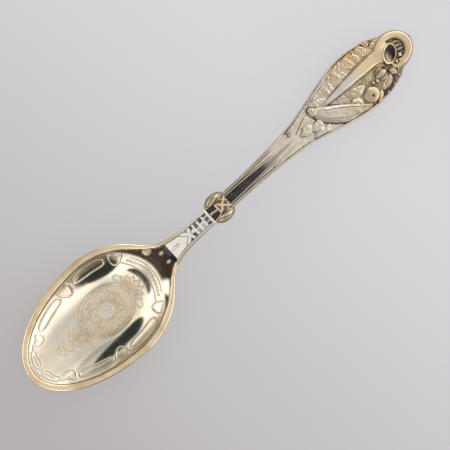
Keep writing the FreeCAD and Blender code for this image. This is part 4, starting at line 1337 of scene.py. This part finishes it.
# Low forms at the stem's end of the plate: outline, height and cut lines
FOOT_FORMS = (
    (((9.6, 4.6), (8.2, 3.9), (5.0, 3.0), (2.0, 2.1), (0.0, 1.3), (-0.9, 1.7), (-0.4, 2.3), (-0.9, 2.8),
      (2.0, 3.3), (5.6, 4.1), (8.4, 4.8)), 0.5, ()),
    (((9.2, -0.2), (9.4, -2.0), (8.2, -3.2), (6.4, -2.9), (5.2, -1.6), (6.6, -0.2)), 0.6,
     (((8.2, -1.4), (7.0, -1.9)),)),
    (((10.8, -3.2), (9.4, -4.6), (6.6, -4.2), (4.6, -3.6), (5.2, -2.7), (8.4, -2.7)), 0.5, ()),
    (((7.0, 0.1), (6.2, -1.3), (4.4, -1.9), (2.4, -1.2), (1.9, -0.2), (3.0, 0.2), (4.2, 0.9)), 0.45, ()),
    (((5.0, -2.3), (4.8, -3.3), (2.0, -3.1), (-2.0, -2.6), (-7.0, -2.3), (-9.4, -1.8), (-8.6, -1.5),
      (-4.0, -1.5), (0.0, -1.3), (3.0, -1.9)), 0.36, ()),
    (((8.0, 2.6), (7.8, 0.6), (5.4, 1.2), (3.2, 0.8), (1.2, 0.6), (3.4, 1.7), (6.0, 2.7)), 0.35, ()),
)
# The apple, the melon and the long fruit: middle, size, height, ridges, stretch, turn and dimple
FRUITS = (
    ((24.6, -5.1), 4.7, 1.3, 0, 1.16, 12, 0.45), ((30.4, -2.6), 4.1, 1.35, 6, 1.1, 4, 0.0),
    ((33.4, -4.2), 2.1, 1.5, 0, 1.5, -72, 0.0),
)
# Berries (p, q, size) on each side of the horn
RIGHT_BERRIES = (
    (37.8, -2.1, 1.3), (35.9, -2.9, 1.0), (34.6, -2.6, 0.8), (37.0, -3.1, 0.8), (26.9, -3.0, 0.9),
    (28.1, -3.3, 1.1), (31.2, -7.0, 0.6), (28.4, -7.5, 0.6), (33.9, -5.9, 0.5),
)
LEFT_BERRIES = ((34.4, 6.2, 0.7), (31.8, 7.1, 0.6), (28.2, 7.1, 0.6), (19.0, 5.4, 0.6))


def fruits():
    """An apple, a ridged melon and a long fruit among leaves and berries, right of the horn."""
    bm = start_mesh()
    # Painted shade: the dark hollow, and with tarnish the ground right of the horn
    pad(bm, RIGHT_GROUND, 0.45, ground=0.64)
    pad(bm, DARK_HOLLOW, 0.6, ground=0.92)
    for outline, height, veins, hatch in RIGHT_FORMS:
        pad(bm, outline, 0.72 * height, veins, hatch, ground=0.4 if hatch else 0.15, grow=1.12, lumps=0.18)
    for values in FRUITS:
        fruit(bm, *values)
    for p, q, size in RIGHT_BERRIES:
        bead(bm, (p, q), size, 0.8)
    finish_piece("fruit_relief", bm, relief_gilt, handle_gilding, ["fruit_cluster"])


def leaf_spray():
    """Curled leaves, a small flower and berries, left of the horn."""
    bm = start_mesh()
    pad(bm, LEFT_GROUND, 0.45, ground=0.22)
    for outline, height, veins in LEFT_FORMS:
        pad(bm, outline, 0.62 * height, veins, grow=1.22, lumps=0.2, ground=0.16)
    blossom(bm, (32.6, 6.3), 1.9, 5, 10, 0.5)
    for p, q, size in LEFT_BERRIES:
        bead(bm, (p, q), size, 0.6)
    finish_piece("flower_and_leaf_relief", bm, relief_gilt, handle_gilding, ["leaf_spray"])


def foot_leaves():
    """Low husks and tendrils where the relief runs out into the stem."""
    bm = start_mesh()
    for outline, height, veins in FOOT_FORMS:
        pad(bm, outline, height, veins)
    finish_piece("husk_relief", bm, relief_gilt, handle_gilding, ["foot_leaves"])


# ---------------------------------------------------------------- table, light and camera

def table_top():
    """Pale paper, a plain square much larger than the picture."""
    bm = bmesh.new()
    bmesh.ops.create_grid(bm, x_segments=2, y_segments=2, size=3.0)
    mesh = bpy.data.meshes.new("table_top")
    bm.to_mesh(mesh)
    bm.free()
    table = bpy.data.objects.new("table_top", mesh)
    bpy.context.scene.collection.objects.link(table)
    # Uncoated paper: an even matt ground
    finish = bpy.data.materials.new("pale_paper")
    finish.use_nodes = True
    tree = finish.node_tree
    shader = tree.nodes["Principled BSDF"]
    place = add_node(tree, "ShaderNodeTexCoord").outputs["Object"]
    # The paper is painted a little darker towards the bowl's side of the picture, as shade
    across = add_node(tree, "ShaderNodeVectorMath", {
        0: place, 1: (0.988, 0.157, 0.0)}, operation="DOT_PRODUCT")
    share = add_node(tree, "ShaderNodeMapRange", {
        "Value": across.outputs["Value"], "From Min": -0.085, "From Max": 0.035})
    tint = add_node(tree, "ShaderNodeMix", {
        "Factor": share.outputs["Result"], 6: colour("#B8B3B2"), 7: colour("#DAD9DD")}, data_type="RGBA")
    tree.links.new(tint.outputs[2], shader.inputs["Base Color"])
    shader.inputs["Roughness"].default_value = 0.9
    # The backdrop's own level, seen by the camera and in the metal, keeps a third of the spoon's shadow
    path = add_node(tree, "ShaderNodeLightPath").outputs
    seen = add_node(tree, "ShaderNodeMath", {
        0: path["Is Camera Ray"], 1: path["Is Glossy Ray"]}, operation="MAXIMUM")
    seen = add_node(tree, "ShaderNodeMath", {
        0: seen.outputs["Value"], 1: path["Is Transmission Ray"]}, operation="MAXIMUM")
    part = add_node(tree, "ShaderNodeMath", {0: seen.outputs["Value"], 1: 0.65}, operation="MULTIPLY")
    glow = add_node(tree, "ShaderNodeEmission", {"Color": tint.outputs[2], "Strength": 1.0})
    both = add_node(tree, "ShaderNodeMixShader", {
        "Fac": part.outputs["Value"], 1: shader.outputs["BSDF"], 2: glow.outputs["Emission"]})
    tree.links.new(both.outputs["Shader"], tree.nodes["Material Output"].inputs["Surface"])
    mesh.materials.append(finish)


# The tent's light by how high it comes from: share of the way up, level
TENT_LEVELS = (
    (0.0, 1.60), (1.0, 0.80), (0.18, 1.75), (0.35, 1.62), (0.5, 1.24), (0.6, 0.84), (0.7, 0.69), (0.86, 0.74),
)
# Its openings: the middle as a direction, the reach each way, the axis and side of it, and how dark it is
OPENINGS = (
    ((-0.10, 0.0, 0.36), (0.33, 9.0, 0.15), "Y", 1, 1.0),
    ((-0.36, 0.0, 0.22), (0.32, 9.0, 0.22), "Y", -1, 1.0),
    ((0.0, 0.0, 0.39), (9.0, 0.48, 0.07), "X", -1, 1.0),
    ((0.20, 0.0, 0.34), (0.29, 9.0, 0.29), "Y", 1, 0.5),
)


def soft_light():
    """A pale tent that lights the spoon, brightest low down and greyer overhead. The bowl mirrors its dark
    openings: one on each side, a narrow one beyond the tip and a half-dark one beside the heel."""
    world = bpy.data.worlds.new("studio")
    bpy.context.scene.world = world
    world.use_nodes = True
    tree = world.node_tree
    tree.nodes.clear()
    place = add_node(tree, "ShaderNodeTexCoord").outputs["Generated"]
    parts = add_node(tree, "ShaderNodeSeparateXYZ", {"Vector": place}).outputs
    up = add_node(tree, "ShaderNodeValToRGB", {"Fac": parts["Z"]})
    stops = up.color_ramp.elements
    for n, (position, level) in enumerate(TENT_LEVELS):
        stop = stops[n] if n < 2 else stops.new(position)
        stop.position, stop.color = position, (level, level * 0.995, level * 0.985, 1)

    dark = 0.0
    for middle, reach, axis, side, depth in OPENINGS:
        away = add_node(tree, "ShaderNodeVectorMath", {0: place, 1: middle}, operation="SUBTRACT")
        away = add_node(tree, "ShaderNodeVectorMath", {
            0: away.outputs["Vector"], 1: reach}, operation="DIVIDE")
        away = add_node(tree, "ShaderNodeVectorMath", {0: away.outputs["Vector"]}, operation="LENGTH")
        inside = add_node(tree, "ShaderNodeMapRange", {
            "Value": away.outputs["Value"], "From Min": 1.06, "From Max": 0.94, "To Max": depth},
            interpolation_type="SMOOTHSTEP")
        near = add_node(tree, "ShaderNodeMath", {0: parts[axis], 1: float(side)}, operation="MULTIPLY")
        near = add_node(tree, "ShaderNodeMath", {0: near.outputs["Value"], 1: 0.0}, operation="GREATER_THAN")
        here = add_node(tree, "ShaderNodeMath", {
            0: inside.outputs["Result"], 1: near.outputs["Value"], 2: dark},
            operation="MULTIPLY_ADD", use_clamp=True)
        dark = here.outputs["Value"]
    # The tent is in shade beyond the bowl, except overhead
    height = add_node(tree, "ShaderNodeMath", {
        0: parts["Z"], 1: 1.2, 2: parts["X"]}, operation="MULTIPLY_ADD")
    beyond = add_node(tree, "ShaderNodeMapRange", {
        "Value": height.outputs["Value"], "From Min": 0.55, "From Max": 0.1, "To Min": 1.0, "To Max": 0.74},
        interpolation_type="SMOOTHSTEP")
    # It is brighter at both ends of the spoon than along its sides
    ends = add_node(tree, "ShaderNodeMath", {0: parts["X"]}, operation="ABSOLUTE")
    nearer = add_node(tree, "ShaderNodeMapRange", {
        "Value": ends.outputs["Value"], "From Min": 0.25, "From Max": 0.55, "To Min": 1.0, "To Max": 1.3})
    level = add_node(tree, "ShaderNodeMath", {
        0: beyond.outputs["Result"], 1: nearer.outputs["Result"]}, operation="MULTIPLY")
    shaded = add_node(tree, "ShaderNodeVectorMath", {
        0: up.outputs["Color"], "Scale": level.outputs["Value"]}, operation="SCALE")
    tent = add_node(tree, "ShaderNodeMix", {
        "Factor": dark, 6: shaded.outputs["Vector"], 7: (0.030, 0.042, 0.042, 1)}, data_type="RGBA")
    lit = add_node(tree, "ShaderNodeBackground", {"Color": tent.outputs[2], "Strength": 1.0})
    add_node(tree, "ShaderNodeOutputWorld", {"Surface": lit.outputs["Background"]})


# The camera's height, the middle of its picture, the picture's width where the spoon lies, and the spoon's
# height and turn in it
CAMERA_HEIGHT, PICTURE_MIDDLE, PICTURE_WIDTH = 0.62, (-0.00244, -0.00442), 0.1208
SPOON_LEVEL, SPOON_TURN = 0.008, math.radians(-42.3)


def camera_above():
    """Looks straight down; the spoon lies aslant across the picture."""
    data = bpy.data.cameras.new("camera_above")
    data.sensor_width = 36.0
    data.lens = data.sensor_width * (CAMERA_HEIGHT - SPOON_LEVEL) / PICTURE_WIDTH
    data.clip_start, data.clip_end = 0.01, 20.0
    camera = bpy.data.objects.new("camera_above", data)
    camera.location = (*PICTURE_MIDDLE, CAMERA_HEIGHT)
    camera.rotation_euler = (0, 0, SPOON_TURN)
    bpy.context.scene.collection.objects.link(camera)
    bpy.context.scene.camera = camera


for make in (bowl_pressing, bowl_border, bowl_medallion, neck_bar, collar_ring, knop_boss, handle_bar,
             horn, crest, long_leaf, fruits, leaf_spray, foot_leaves, table_top, soft_light, camera_above):
    make()
bpy.context.scene.view_settings.view_transform = "Standard"
